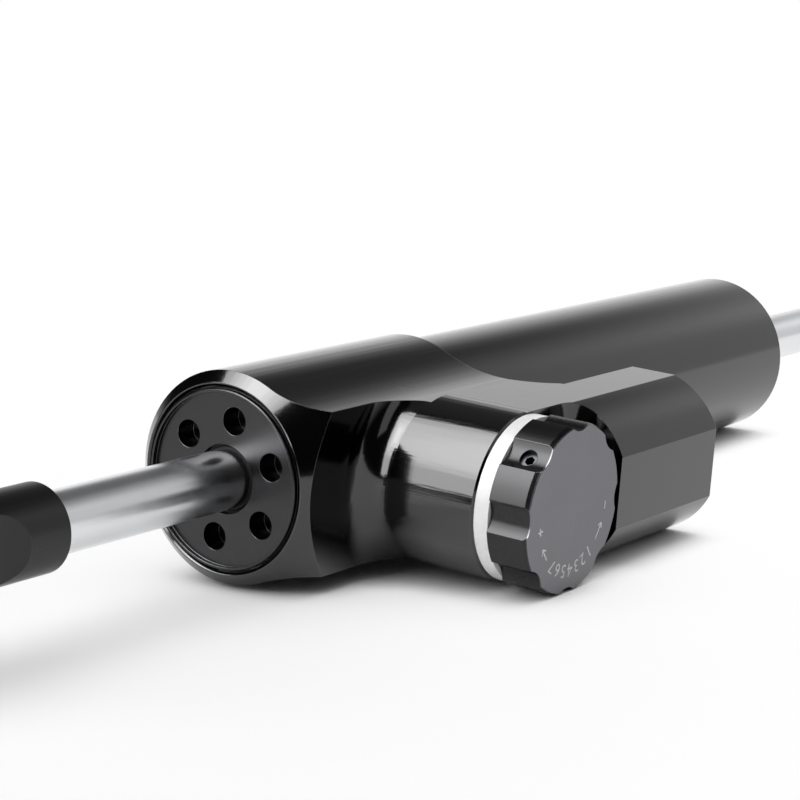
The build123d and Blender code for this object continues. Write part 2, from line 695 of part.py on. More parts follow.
def adjuster_knob():
    hub_radius = RING_RADIUS - RING_WALL - HUB_CLEARANCE
    knob = knob_turned([
        (0, HUB_FACE),
        (hub_radius, HUB_FACE),
        (hub_radius, KNOB_BASE),
        (KNOB_RADIUS, KNOB_BASE),
        (KNOB_RADIUS, KNOB_FACE - KNOB_BEVEL_WIDTH),
        (KNOB_RADIUS - KNOB_BEVEL_DROP, KNOB_FACE),
        (0, KNOB_FACE),
    ])
    knob -= knob_ring(HUB_FACE, SPINDLE_END + SIDE_CLEARANCE, 0, SPINDLE_RADIUS + SEAT_CLEARANCE)
    scallop_centre = KNOB_RADIUS - SCALLOP_DEPTH + SCALLOP_RADIUS
    for index in range(SCALLOP_COUNT):
        across_x, across_z = knob_direction(SET_SCREW_ANGLE + 360 * index / SCALLOP_COUNT)
        x = KNOB_X + scallop_centre * across_x
        z = scallop_centre * across_z
        knob -= bar((x, -KNOB_BASE, z), (x, -KNOB_FACE, z), SCALLOP_RADIUS)
    for index in range(DETENT_CLICKS):
        across_x, across_z = knob_direction(360 * index / DETENT_CLICKS - 90)
        dimple_plane = Plane(
            origin=(KNOB_X + DETENT_RADIUS * across_x, -HUB_FACE, DETENT_RADIUS * across_z),
            z_dir=(0, -1, 0),
        )
        knob -= dimple_plane * Cone(
            DETENT_DIMPLE_RADIUS,
            DETENT_DIMPLE_RADIUS / 3,
            DETENT_DIMPLE_DEPTH,
            align=(Align.CENTER, Align.CENTER, Align.MIN),
        )
    across_x, across_z = knob_direction(SET_SCREW_ANGLE)
    screw_mouth = (KNOB_X + KNOB_RADIUS * across_x, -SET_SCREW_OUT, KNOB_RADIUS * across_z)
    screw_hole = bar((KNOB_X, -SET_SCREW_OUT, 0), screw_mouth, SET_SCREW_DIAMETER / 2 + SEAT_CLEARANCE)
    return knob - screw_hole


def knob_set_screw():
    across_x, across_z = knob_direction(SET_SCREW_ANGLE)

    def at(radius):
        return (KNOB_X + radius * across_x, -SET_SCREW_OUT, radius * across_z)

    inner = SPINDLE_RADIUS - SPINDLE_FLAT_DEPTH
    outer = inner + SET_SCREW_LENGTH
    screw = bar(at(inner), at(outer), SET_SCREW_DIAMETER / 2)
    return screw - hexagon_bar(at(outer - SET_SCREW_KEY_DEPTH), at(outer), SET_SCREW_KEY)


def detent_ball():
    radius = DETENT_BALL_DIAMETER / 2
    out = HUB_FACE - SEAT_CLEARANCE - radius
    return Pos(KNOB_X, -out, -DETENT_RADIUS) * Sphere(radius)


def detent_spring():
    """Small coil spring that lifts the ball, from the pocket's floor to the ball."""
    ball_out = HUB_FACE - SEAT_CLEARANCE - DETENT_BALL_DIAMETER / 2
    coil_radius = DETENT_BALL_DIAMETER / 2 - DETENT_WIRE
    touch = sqrt((DETENT_BALL_DIAMETER / 2 + DETENT_WIRE / 2) ** 2 - coil_radius ** 2)
    floor_out = BOSS_END - DETENT_POCKET_DEPTH
    height = ball_out - touch - floor_out - DETENT_WIRE
    path = Helix(height / DETENT_SPRING_TURNS, height, coil_radius)
    start = path @ 0
    section = Plane(origin=start, z_dir=path % 0) * Circle(DETENT_WIRE / 2)
    coil = sweep(section, path=path)
    base = Plane(origin=(KNOB_X, -floor_out - DETENT_WIRE / 2, -DETENT_RADIUS), z_dir=(0, -1, 0))
    return base * coil


# Reservoir fittings

def reservoir_plug():
    outside = PLUG_RADIUS
    groove_x = (PLUG_FRONT + PLUG_BACK) / 2
    half_groove = GROOVE_WIDTH / 2
    plug = reservoir_turned([
        (PLUG_FRONT, 0),
        (PLUG_FRONT, outside),
        (groove_x - half_groove, outside),
        (groove_x - half_groove, outside - GROOVE_DEPTH),
        (groove_x + half_groove, outside - GROOVE_DEPTH),
        (groove_x + half_groove, outside),
        (PLUG_BACK - EDGE_BREAK, outside),
        (PLUG_BACK, outside - EDGE_BREAK),
        (PLUG_BACK, 0),
    ])
    for side in (-1, 1):
        centre = (PLUG_BACK, -RESERVOIR_OFFSET, side * PLUG_SPANNER_RADIUS)
        floor = (PLUG_BACK - PLUG_SPANNER_DEPTH, centre[1], centre[2])
        plug -= bar(floor, centre, PLUG_SPANNER_HOLE / 2)
    head_floor = PLUG_BACK - FILL_SCREW_HEAD_HEIGHT
    plug -= reservoir_turned([
        (head_floor, 0),
        (head_floor, FILL_SCREW_HEAD / 2 + SEAT_CLEARANCE),
        (PLUG_BACK, FILL_SCREW_HEAD / 2 + SEAT_CLEARANCE),
        (PLUG_BACK, 0),
    ])
    return plug - reservoir_turned([
        (PLUG_FRONT, 0),
        (PLUG_FRONT, FILL_SCREW_SHANK / 2 + SEAT_CLEARANCE),
        (head_floor, FILL_SCREW_SHANK / 2 + SEAT_CLEARANCE),
        (head_floor, 0),
    ])


def plug_o_ring():
    cord = GROOVE_DEPTH
    ring = cord_ring((PLUG_FRONT + PLUG_BACK) / 2, PLUG_RADIUS - GROOVE_DEPTH + cord / 2, cord)
    return Pos(0, -RESERVOIR_OFFSET, 0) * ring


def fill_screw():
    head_floor = PLUG_BACK - FILL_SCREW_HEAD_HEIGHT
    screw = reservoir_turned([
        (PLUG_FRONT, 0),
        (PLUG_FRONT, FILL_SCREW_SHANK / 2),
        (head_floor, FILL_SCREW_SHANK / 2),
        (head_floor, FILL_SCREW_HEAD / 2),
        (PLUG_BACK - EDGE_BREAK, FILL_SCREW_HEAD / 2),
        (PLUG_BACK, FILL_SCREW_HEAD / 2 - EDGE_BREAK),
        (PLUG_BACK, 0),
    ])
    key = hexagon_bar(
        (PLUG_BACK - FILL_SCREW_KEY_DEPTH, -RESERVOIR_OFFSET, 0),
        (PLUG_BACK, -RESERVOIR_OFFSET, 0),
        FILL_SCREW_KEY,
    )
    return screw - key


def separator_piston():
    """Cup-shaped floating piston between oil and gas."""
    start = KNOB_X + SEPARATOR_STATION
    end = start + SEPARATOR_LENGTH
    outside = RESERVOIR_BORE / 2 - SIDE_CLEARANCE
    groove_x = (start + end) / 2
    half_groove = GROOVE_WIDTH / 2
    cup_radius = outside - GROOVE_DEPTH - TUBE_WALL
    return reservoir_turned([
        (start, 0),
        (start, outside),
        (groove_x - half_groove, outside),
        (groove_x - half_groove, outside - GROOVE_DEPTH),
        (groove_x + half_groove, outside - GROOVE_DEPTH),
        (groove_x + half_groove, outside),
        (end, outside),
        (end, cup_radius),
        (start + SEPARATOR_LENGTH / 3, cup_radius),
        (start + SEPARATOR_LENGTH / 3, 0),
    ])


def separator_o_ring():
    groove_x = KNOB_X + SEPARATOR_STATION + SEPARATOR_LENGTH / 2
    outside = RESERVOIR_BORE / 2 - SIDE_CLEARANCE
    cord = GROOVE_DEPTH
    return Pos(0, -RESERVOIR_OFFSET, 0) * cord_ring(groove_x, outside - GROOVE_DEPTH + cord / 2, cord)


# Rod, piston and rod end

def damper_rod():
    groove = ROD_RADIUS - CIRCLIP_GROOVE_DEPTH
    thread = ROD_THREAD_DIAMETER / 2
    return turned([
        (COLLAR_FACE - ROD_THREAD_LENGTH, 0),
        (COLLAR_FACE - ROD_THREAD_LENGTH, thread - EDGE_BREAK),
        (COLLAR_FACE - ROD_THREAD_LENGTH + EDGE_BREAK, thread),
        (COLLAR_FACE, thread),
        (COLLAR_FACE, ROD_RADIUS),
        (FRONT_CLIP, ROD_RADIUS),
        (FRONT_CLIP, groove),
        (FRONT_CLIP + CIRCLIP_WIDTH, groove),
        (FRONT_CLIP + CIRCLIP_WIDTH, ROD_RADIUS),
        (BACK_CLIP, ROD_RADIUS),
        (BACK_CLIP, groove),
        (BACK_CLIP + CIRCLIP_WIDTH, groove),
        (BACK_CLIP + CIRCLIP_WIDTH, ROD_RADIUS),
        (TAIL_END - 2 * EDGE_BREAK, ROD_RADIUS),
        (TAIL_END, ROD_RADIUS - 2 * EDGE_BREAK),
        (TAIL_END, 0),
    ])


def piston():
    """Piston with a ring groove, and a recess in each face for its circlip."""
    outside = LINER_INSIDE - PISTON_RUNOUT
    middle = (PISTON_FRONT + PISTON_BACK) / 2
    half_groove = PISTON_RING_WIDTH / 2 + SIDE_CLEARANCE
    groove = LINER_INSIDE - RUNNING_CLEARANCE - PISTON_RING_THICKNESS - SIDE_CLEARANCE
    bore = ROD_RADIUS + SEAT_CLEARANCE
    recess = CLIP_INSIDE + CIRCLIP_HEIGHT + SIDE_CLEARANCE
    return turned([
        (FRONT_CLIP + CIRCLIP_WIDTH, bore),
        (FRONT_CLIP + CIRCLIP_WIDTH, recess),
        (PISTON_FRONT, recess),
        (PISTON_FRONT, outside - EDGE_BREAK),
        (PISTON_FRONT + EDGE_BREAK, outside),
        (middle - half_groove, outside),
        (middle - half_groove, groove),
        (middle + half_groove, groove),
        (middle + half_groove, outside),
        (PISTON_BACK - EDGE_BREAK, outside),
        (PISTON_BACK, outside - EDGE_BREAK),
        (PISTON_BACK, recess),
        (BACK_CLIP, recess),
        (BACK_CLIP, bore),
    ])


def piston_ring():
    middle = (PISTON_FRONT + PISTON_BACK) / 2
    outside = LINER_INSIDE - RUNNING_CLEARANCE
    return ring_x(
        middle - PISTON_RING_WIDTH / 2,
        middle + PISTON_RING_WIDTH / 2,
        outside - PISTON_RING_THICKNESS,
        outside,
    )


def retaining_rings():
    """Two open circlips that hold the piston on the rod."""
    clips = []
    for start in (FRONT_CLIP, BACK_CLIP):
        clip = ring_x(start, start + CIRCLIP_WIDTH, CLIP_INSIDE, CLIP_INSIDE + CIRCLIP_HEIGHT)
        gap = box_between(
            (start, -CLIP_INSIDE / 2, 0),
            (start + CIRCLIP_WIDTH, CLIP_INSIDE / 2, CLIP_INSIDE + CIRCLIP_HEIGHT),
        )
        clips.append(clip - gap)
    return Compound(children=[part.solid() for part in clips])


def rod_end():
    """Turned shank and ball-shaped head, with flats milled for the eye."""
    eye_radius = EYE_DIAMETER / 2
    neck_height = SHANK_RADIUS + EYE_NECK_RADIUS
    neck_x = EYE_X + sqrt((eye_radius + EYE_NECK_RADIUS) ** 2 - neck_height ** 2)
    share = eye_radius / (eye_radius + EYE_NECK_RADIUS)
    touch = (EYE_X + (neck_x - EYE_X) * share, neck_height * share)
    neck_start = (neck_x, SHANK_RADIUS)
    bend_angle = atan2(touch[1] - neck_height, touch[0] - neck_x)
    middle_angle = (bend_angle - pi / 2) / 2
    if bend_angle > 0:
        middle_angle -= pi
    neck_middle = (
        neck_x + EYE_NECK_RADIUS * cos(middle_angle),
        neck_height + EYE_NECK_RADIUS * sin(middle_angle),
    )
    crown = (EYE_X - eye_radius * cos(pi / 4), eye_radius * sin(pi / 4))
    outline = make_face([
        Line((EYE_X - eye_radius, 0), (COLLAR_FACE, 0)),
        Line((COLLAR_FACE, 0), (COLLAR_FACE, SHANK_RADIUS - EDGE_BREAK)),
        Line((COLLAR_FACE, SHANK_RADIUS - EDGE_BREAK), (COLLAR_FACE - EDGE_BREAK, SHANK_RADIUS)),
        Line((COLLAR_FACE - EDGE_BREAK, SHANK_RADIUS), neck_start),
        ThreePointArc(neck_start, neck_middle, touch),
        ThreePointArc(touch, crown, (EYE_X - eye_radius, 0)),
    ])
    head = revolve(outline, Axis.X, 360)
    return head - eye_flats() - rod_end_bores()


def eye_flats():
    """Cutter for both flats of the eye, with a round run-out towards the shank."""
    eye_radius = EYE_DIAMETER / 2
    end_x = COLLAR_FACE - EYE_RUNOUT_START
    flat_y = EYE_WIDTH / 2
    run = sqrt(EYE_RUNOUT_RADIUS ** 2 - (EYE_RUNOUT_RADIUS - SHANK_RADIUS + flat_y) ** 2)
    arc_x = end_x - run
    half_angle = atan2(run, EYE_RUNOUT_RADIUS - SHANK_RADIUS + flat_y) / 2
    arc_middle = (
        arc_x + EYE_RUNOUT_RADIUS * sin(half_angle),
        flat_y + EYE_RUNOUT_RADIUS * (1 - cos(half_angle)),
    )
    left_x = EYE_X - 2 * eye_radius
    outline = make_face([
        Line((left_x, flat_y), (arc_x, flat_y)),
        ThreePointArc((arc_x, flat_y), arc_middle, (end_x, SHANK_RADIUS)),
        Line((end_x, SHANK_RADIUS), (end_x, 2 * eye_radius)),
        Line((end_x, 2 * eye_radius), (left_x, 2 * eye_radius)),
        Line((left_x, 2 * eye_radius), (left_x, flat_y)),
    ])
    cutter = extrude(outline, 2 * eye_radius, both=True)
    return cutter + mirror(cutter, Plane.XZ)


def rod_end_bores():
    race_bore = bar((EYE_X, -EYE_WIDTH, 0), (EYE_X, EYE_WIDTH, 0), RACE_RADIUS + SEAT_CLEARANCE)
    thread_bore = bar(
        (COLLAR_FACE - ROD_THREAD_LENGTH - SIDE_CLEARANCE, 0, 0),
        (COLLAR_FACE, 0, 0),
        ROD_THREAD_DIAMETER / 2 + SEAT_CLEARANCE,
    )
    return race_bore + thread_bore


def bearing_race():
    race = bar((EYE_X, -EYE_WIDTH / 2, 0), (EYE_X, EYE_WIDTH / 2, 0), RACE_RADIUS)
    return race - Pos(EYE_X, 0, 0) * Sphere(BALL_RADIUS + BALL_CLEARANCE)


def spherical_ball():
    ball = Pos(EYE_X, 0, 0) * Sphere(BALL_RADIUS)
    slab = Pos(EYE_X, 0, 0) * Box(BALL_DIAMETER, BALL_WIDTH, BALL_DIAMETER)
    bore = bar((EYE_X, -BALL_WIDTH, 0), (EYE_X, BALL_WIDTH, 0), BALL_BORE / 2)
    return (ball & slab) - bore


def all_nodes():
    front_seat = CAP_BORE_RADIUS - SEAT_CLEARANCE
    back_seat = TUBE_INSIDE - SEAT_CLEARANCE
    return {
        "valve_block": valve_block(),
        "outer_tube": outer_tube(),
        "tube_seal": tube_seal(),
        "inner_liner": inner_liner(),
        "front_gland_cap": gland_cap(front_seat),
        "rear_gland_cap": mirrored_to_back(gland_cap(back_seat)),
        "front_wiper": wiper(),
        "rear_wiper": mirrored_to_back(wiper()),
        "front_rod_guide": rod_guide(front_seat),
        "rear_rod_guide": mirrored_to_back(rod_guide(back_seat)),
        "front_guide_bush": guide_bush(),
        "rear_guide_bush": mirrored_to_back(guide_bush()),
        "front_rod_seal": rod_seal(),
        "rear_rod_seal": mirrored_to_back(rod_seal()),
        "front_guide_o_ring": guide_o_ring(front_seat),
        "rear_guide_o_ring": mirrored_to_back(guide_o_ring(back_seat)),
        "valve_seat": valve_seat(),
        "adjuster_gland_nut": adjuster_gland_nut(),
        "index_ring": index_ring(),
        "detent_ball": detent_ball(),
        "detent_spring": detent_spring(),
        "metering_spindle": metering_spindle(),
        "spindle_o_ring": spindle_o_ring(),
        "adjuster_knob": adjuster_knob(),
        "knob_set_screw": knob_set_screw(),
        "reservoir_plug": reservoir_plug(),
        "plug_o_ring": plug_o_ring(),
        "fill_screw": fill_screw(),
        "separator_piston": separator_piston(),
        "separator_o_ring": separator_o_ring(),
        "damper_rod": damper_rod(),
        "piston": piston(),
        "piston_ring": piston_ring(),
        "retaining_rings": retaining_rings(),
        "rod_end": rod_end(),
        "bearing_race": bearing_race(),
        "spherical_ball": spherical_ball(),
    }


os.makedirs("parts", exist_ok=True)
for name, shape in all_nodes().items():
    export_step(shape, f"parts/{name}.step")
    box = shape.bounding_box()
    print(name, [round(v, 2) for v in (*box.min, *box.max)])
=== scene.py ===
# %% [markdown]
# # A steering damper in black anodised aluminium
#
# A steering damper is a small hydraulic cylinder that calms a motorcycle's steering. This lesson dresses
# its finished construction for a studio photograph: a black body, a polished rod, one white ring, and a
# white room. The first cell loads the construction. Every solid is already in its place, in metres, with
# X along the rod, Z up and the adjuster knob on the -Y side, so nothing here moves or resizes it.

# %% Load the construction
import json
import math

import bmesh
import bpy
from mathutils import Matrix, Vector


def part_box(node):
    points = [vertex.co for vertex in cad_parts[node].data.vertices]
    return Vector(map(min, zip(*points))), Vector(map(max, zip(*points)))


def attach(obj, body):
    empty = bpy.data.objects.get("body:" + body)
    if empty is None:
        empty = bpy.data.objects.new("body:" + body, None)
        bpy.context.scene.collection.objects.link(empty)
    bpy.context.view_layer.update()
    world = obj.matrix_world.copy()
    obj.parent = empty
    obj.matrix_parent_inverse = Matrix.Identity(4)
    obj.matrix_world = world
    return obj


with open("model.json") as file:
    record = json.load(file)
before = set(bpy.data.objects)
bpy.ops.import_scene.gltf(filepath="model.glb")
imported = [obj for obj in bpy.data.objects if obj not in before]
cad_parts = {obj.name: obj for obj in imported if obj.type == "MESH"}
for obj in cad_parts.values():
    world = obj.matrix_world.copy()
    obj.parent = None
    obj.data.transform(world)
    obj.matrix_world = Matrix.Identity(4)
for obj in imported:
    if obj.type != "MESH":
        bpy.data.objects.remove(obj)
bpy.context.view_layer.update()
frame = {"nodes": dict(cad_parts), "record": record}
nodes = frame["nodes"]
scene = bpy.context.scene
MM = 0.001

# %% [markdown]
# ## Three helpers
#
# Colours are written as the hex values that a paint program shows. Blender works with linear light, so one
# function turns them over. The second function adds a node with its settings and its links, which keeps the
# recipes below short enough to read as recipes. The third starts a material with nothing in it, because the
# default shader would only be in the way.

# %% Colour, node and material helpers
def linear(hex_colour):
    """Linear RGBA from an sRGB hex string."""
    values = [int(hex_colour[i:i + 2], 16) / 255 for i in (0, 2, 4)]
    curved = [v / 12.92 if v <= 0.04045 else ((v + 0.055) / 1.055) ** 2.4 for v in values]
    return (*curved, 1.0)


def add_node(tree, kind, settings=None, links=None):
    """Adds a node. A setting names a property or an input of the node, and a link names an input."""
    made = tree.nodes.new(kind)
    for key, value in (settings or {}).items():
        if isinstance(key, str) and hasattr(made, key):
            setattr(made, key, value)
        else:
            made.inputs[key].default_value = value
    for key, source in (links or {}).items():
        tree.links.new(source, made.inputs[key])
    return made


def start_material(name):
    """New empty material with its node tree."""
    material = bpy.data.materials.new(name)
    material.use_nodes = True
    material.node_tree.nodes.clear()
    return material, material.node_tree


print("mid grey in linear light:", [round(v, 3) for v in linear("808080")[:3]])

# %% [markdown]
# ## The camera
#
# The photograph looks along the rod from low down, with the rod's eye cut off by the left edge. A camera
# with a long lens, about half a metre away, gives that mild perspective. Its place and its three angles are
# written out: heading from +Y towards +X, tilt from level, and roll about the view.

# %% Camera
IMAGE_SIZE = 800
SENSOR_WIDTH = 36.0
FOCAL_PIXELS = 2390.9
NEAREST_SEEN, FARTHEST_SEEN = 0.01, 50
CAMERA_PLACE = Vector((-409.99, -234.36, 98.10)) * MM
HEADING, TILT, ROLL = math.radians(56.0), math.radians(-12.35), math.radians(4.15)


def towards(heading, rise):
    """Unit vector with that heading from +Y towards +X and that rise above level, both in radians."""
    level = math.cos(rise)
    return Vector((level * math.sin(heading), level * math.cos(heading), math.sin(rise)))


camera_data = bpy.data.cameras.new("photo_camera")
camera_data.sensor_width = SENSOR_WIDTH
camera_data.lens = FOCAL_PIXELS / IMAGE_SIZE * SENSOR_WIDTH
camera_data.clip_start = NEAREST_SEEN
camera_data.clip_end = FARTHEST_SEEN
camera = bpy.data.objects.new("photo_camera", camera_data)
scene.collection.objects.link(camera)
forward = towards(HEADING, TILT)
level_right = forward.cross(Vector((0, 0, 1))).normalized()
level_up = level_right.cross(forward)
right = math.cos(ROLL) * level_right + math.sin(ROLL) * level_up
up = math.cos(ROLL) * level_up - math.sin(ROLL) * level_right
turn = Matrix((right, up, -forward)).transposed().to_4x4()
camera.matrix_world = Matrix.Translation(CAMERA_PLACE) @ turn
scene.camera = camera
print("lens in mm:", round(camera_data.lens, 1))

# %% [markdown]
# ## Where the floor is
#
# The damper has no feet. Laid on a table it rests on three places: the round back edge of its block, the
# end of its barrel tube, and the rim of the knob. The plane through those three is the floor, and it leans
# a few degrees against the damper's own axes. It could be judged by eye, but working it out puts the
# contact shadows where they belong. The lean is found in a few rounds, because the place where the knob
# touches depends a little on the lean itself.

# %% Resting plane
BLOCK_RADIUS = 17.9 * MM
EDGE_BREAK = 0.4 * MM
KNOB_REST_DROP = 14.08 * MM
KNOB_BEVEL = 0.9 * MM
SETTLING_ROUNDS = 20

tube_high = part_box("outer_tube")[1]
block_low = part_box("valve_block")[0]
knob_low, knob_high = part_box("adjuster_knob")
TUBE_RADIUS = tube_high.z
KNOB_X = (knob_low.x + knob_high.x) / 2
KNOB_FACE = knob_low.y
BLOCK_FRONT = block_low.x
# The bare tube is centred on X = 0, so the block ends as far before it as the tube ends behind it.
BLOCK_BACK = -tube_high.x


def resting_plane():
    """Unit normal and height of the floor below the rod's axis at X = 0."""
    pitch = -(BLOCK_RADIUS - TUBE_RADIUS) / (tube_high.x - BLOCK_BACK)
    height = BLOCK_RADIUS - pitch * (BLOCK_BACK - EDGE_BREAK)
    rest = height + pitch * KNOB_X
    reach = -(KNOB_FACE + KNOB_BEVEL)
    lean = 0.0
    for _ in range(SETTLING_ROUNDS):
        lean = math.asin((rest - KNOB_REST_DROP * math.cos(lean)) / reach)
    normal = Vector((pitch, math.sin(lean), math.cos(lean))).normalized()
    return normal, height


floor_normal, floor_drop = resting_plane()
print("floor leans by degrees:", round(math.degrees(math.atan2(floor_normal.y, floor_normal.z)), 2),
      "drop in mm:", round(floor_drop / MM, 2))

# %% [markdown]
# ## Floor
#
# Product photographs like this one have no horizon: the paper sweeps up behind the object and burns out to
# white. A ring of paper could be modelled, but a flat floor is enough. Its colour is ordinary white paper
# near the damper, where the shadows are, and it turns into plain white with distance, measured on the floor
# itself from under the rod end, where the softest shadow lies. Close by, a share of that plain white is
# painted fill light, which lightens the shadows as a bright studio would from all sides. An Ambient
# Occlusion node, which tells how shut in a point is, takes the painted fill away in the crevice where metal
# meets paper, so only the lamps' own shade shows there.
# The paper's tooth would be too fine to show, so it is drawn several times as coarse, and very faint.

# %% How much of the floor is plain white
# Near the damper the plain white is painted fill light, taken away where the floor is shut in.
FADE_START, FADE_END = 0.03, 0.17
FILL_SHARE = 0.38
CREVICE_REACH = 9 * MM
SHUT_IN, IN_OPEN = 0.15, 0.9


def white_share(tree, place):
    """Socket of how much plain white is here, for the rays that come from the camera or a mirror. Near the
    damper it is painted fill light.
    """
    distance = add_node(tree, "ShaderNodeVectorMath", {"operation": "LENGTH"}, {0: place})
    fade = add_node(
        tree, "ShaderNodeMapRange",
        {"interpolation_type": "SMOOTHSTEP", "From Min": FADE_START, "From Max": FADE_END,
         "To Min": FILL_SHARE},
        {"Value": distance.outputs["Value"]},
    )
    rays = add_node(tree, "ShaderNodeLightPath")
    mirrored = add_node(
        tree, "ShaderNodeMath", {"operation": "MAXIMUM"},
        {0: rays.outputs["Is Glossy Ray"], 1: rays.outputs["Is Transmission Ray"]},
    )
    seen = add_node(
        tree, "ShaderNodeMath", {"operation": "MAXIMUM"},
        {0: rays.outputs["Is Camera Ray"], 1: mirrored.outputs["Value"]},
    )
    crevice = add_node(tree, "ShaderNodeAmbientOcclusion", {"samples": 8, "Distance": CREVICE_REACH})
    in_open = add_node(
        tree, "ShaderNodeMapRange",
        {"interpolation_type": "SMOOTHSTEP", "From Min": SHUT_IN, "From Max": IN_OPEN},
        {"Value": crevice.outputs["AO"]},
    )
    # The painted fill light, less where the floor is shut in.
    painted_fill = add_node(
        tree, "ShaderNodeMath", {"operation": "MULTIPLY"},
        {0: fade.outputs["Result"], 1: in_open.outputs["Result"]},
    )
    share = add_node(
        tree, "ShaderNodeMath", {"operation": "MULTIPLY"},
        {0: painted_fill.outputs["Value"], 1: seen.outputs["Value"]},
    )
    return share.outputs["Value"]


print("floor is plain white from mm:", round(FADE_END / MM))

# %% Paper
PAPER_GRAIN = 1.1 * MM
PAPER_RELIEF = 0.2 * MM


def floor_material():
    """White paper that becomes pure white away from the object."""
    material, tree = start_material("matte_white_paper")
    place = add_node(tree, "ShaderNodeTexCoord")
    grain = add_node(
        tree, "ShaderNodeTexNoise", {"Scale": 1 / PAPER_GRAIN, "Detail": 3.0},
        {"Vector": place.outputs["Object"]},
    )
    bump = add_node(
        tree, "ShaderNodeBump", {"Strength": 0.05, "Distance": PAPER_RELIEF},
        {"Height": grain.outputs["Fac"]},
    )
    paper = add_node(
        tree, "ShaderNodeBsdfPrincipled",
        {"Base Color": linear("F6F6F6"), "Roughness": 0.6, "Specular IOR Level": 0.2},
        {"Normal": bump.outputs["Normal"]},
    )
    white = add_node(tree, "ShaderNodeEmission", {"Color": linear("FFFFFF"), "Strength": 1.0})
    mixed = add_node(
        tree, "ShaderNodeMixShader", {},
        {0: white_share(tree, place.outputs["Object"]), 1: paper.outputs["BSDF"],
         2: white.outputs["Emission"]},
    )
    add_node(tree, "ShaderNodeOutputMaterial", {}, {"Surface": mixed.outputs["Shader"]})
    return material


paper_white = floor_material()
print("paper nodes:", len(paper_white.node_tree.nodes))

# %% Floor
FLOOR_SIZE = 12.0
FLOOR_CENTRE = Vector((-0.18, 0.01, 0))


def plane_frame(normal, drop):
    """Places a flat piece on the plane with that normal, below the rod's axis."""
    side = Vector((1, 0, 0))
    side = (side - side.dot(normal) * normal).normalized()
    across = normal.cross(side)
    place = Matrix((side, across, normal)).transposed().to_4x4()
    centre = FLOOR_CENTRE - normal * (normal.dot(FLOOR_CENTRE) + drop)
    return Matrix.Translation(centre) @ place


bpy.ops.mesh.primitive_plane_add(size=FLOOR_SIZE)
floor = bpy.context.object
floor.name = "paper_floor"
floor.matrix_world = plane_frame(floor_normal, floor_drop)
floor.data.materials.append(paper_white)
print("floor at", [round(v / MM, 1) for v in floor.matrix_world.translation])

# %% [markdown]
# ## The room
#
# Black gloss shows little light of its own. What the eye reads as its shape is the room mirrored in it.
# This room has a white wall behind the damper, which fades out some thirty degrees up, and a soft glow to
# the right, as of a window round the corner. It is dark everywhere else: overhead, to the left and behind
# the camera. The camera itself sees plain white all round. An image of a studio could light it as well, but
# three smooth steps say the same in a few nodes: one round the compass, one with height, and one round the
# middle of the glow.

# %% Light of the wall and the glow
WALL_HEADING = math.radians(62)
WALL_EDGE, WALL_FULL = math.cos(math.radians(48)), math.cos(math.radians(30))
WALL_TOP_START, WALL_TOP_END = math.sin(math.radians(13)), math.sin(math.radians(33))
WALL_LOW, WALL_HIGH = 1.0, 0.10
GLOW_MIDDLE = towards(math.radians(120), math.radians(6))
GLOW_EDGE, GLOW_FULL = math.cos(math.radians(52)), math.cos(math.radians(12))
GLOW_STRENGTH = 0.66
ROOM_DARK = 0.018


def wall_light(tree, direction):
    """Sockets of the wall's step round the compass and of its step with height above the floor."""
    height = add_node(
        tree, "ShaderNodeVectorMath", {"operation": "DOT_PRODUCT", 1: tuple(floor_normal)}, {0: direction}
    )
    flat = add_node(
        tree, "ShaderNodeVectorMath", {"operation": "MULTIPLY", 1: (1, 1, 0)}, {0: direction}
    )
    compass = add_node(
        tree, "ShaderNodeVectorMath", {"operation": "NORMALIZE"}, {0: flat.outputs["Vector"]}
    )
    facing = add_node(
        tree, "ShaderNodeVectorMath", {"operation": "DOT_PRODUCT", 1: tuple(towards(WALL_HEADING, 0))},
        {0: compass.outputs["Vector"]},
    )
    wall = add_node(
        tree, "ShaderNodeMapRange",
        {"interpolation_type": "SMOOTHSTEP", "From Min": WALL_EDGE, "From Max": WALL_FULL},
        {"Value": facing.outputs["Value"]},
    )
    level = add_node(
        tree, "ShaderNodeMapRange",
        {"interpolation_type": "SMOOTHSTEP", "From Min": WALL_TOP_START, "From Max": WALL_TOP_END,
         "To Min": WALL_LOW, "To Max": WALL_HIGH},
        {"Value": height.outputs["Value"]},
    )
    return wall.outputs["Result"], level.outputs["Result"]


def glow_light(tree, direction):
    """Socket of the soft glow, which falls off to the dark of the room."""
    near_glow = add_node(
        tree, "ShaderNodeVectorMath", {"operation": "DOT_PRODUCT", 1: tuple(GLOW_MIDDLE)}, {0: direction}
    )
    glow = add_node(
        tree, "ShaderNodeMapRange",
        {"interpolation_type": "SMOOTHSTEP", "From Min": GLOW_EDGE, "From Max": GLOW_FULL,
         "To Min": ROOM_DARK, "To Max": GLOW_STRENGTH},
        {"Value": near_glow.outputs["Value"]},
    )
    return glow.outputs["Result"]


print("wall spans degrees round the compass:", round(2 * math.degrees(math.acos(WALL_EDGE))))

# %% Room
def make_room():
    """World that is white to the camera, and a bright wall in a dark room for everything else."""
    world = bpy.data.worlds.new("white_studio")
    world.use_nodes = True
    tree = world.node_tree
    tree.nodes.clear()
    place = add_node(tree, "ShaderNodeTexCoord")
    wall, level = wall_light(tree, place.outputs["Generated"])
    strength = add_node(
        tree, "ShaderNodeMath", {"operation": "MULTIPLY_ADD"},
        {0: wall, 1: level, 2: glow_light(tree, place.outputs["Generated"])},
    )
    rays = add_node(tree, "ShaderNodeLightPath")
    room = add_node(
        tree, "ShaderNodeBackground", {"Color": linear("FFFFFF")}, {"Strength": strength.outputs["Value"]}
    )
    white = add_node(tree, "ShaderNodeBackground", {"Color": linear("FFFFFF"), "Strength": 1.0})
    mixed = add_node(
        tree, "ShaderNodeMixShader", {},
        {0: rays.outputs["Is Camera Ray"], 1: room.outputs["Background"], 2: white.outputs["Background"]},
    )
    add_node(tree, "ShaderNodeOutputWorld", {}, {"Surface": mixed.outputs["Shader"]})
    return world


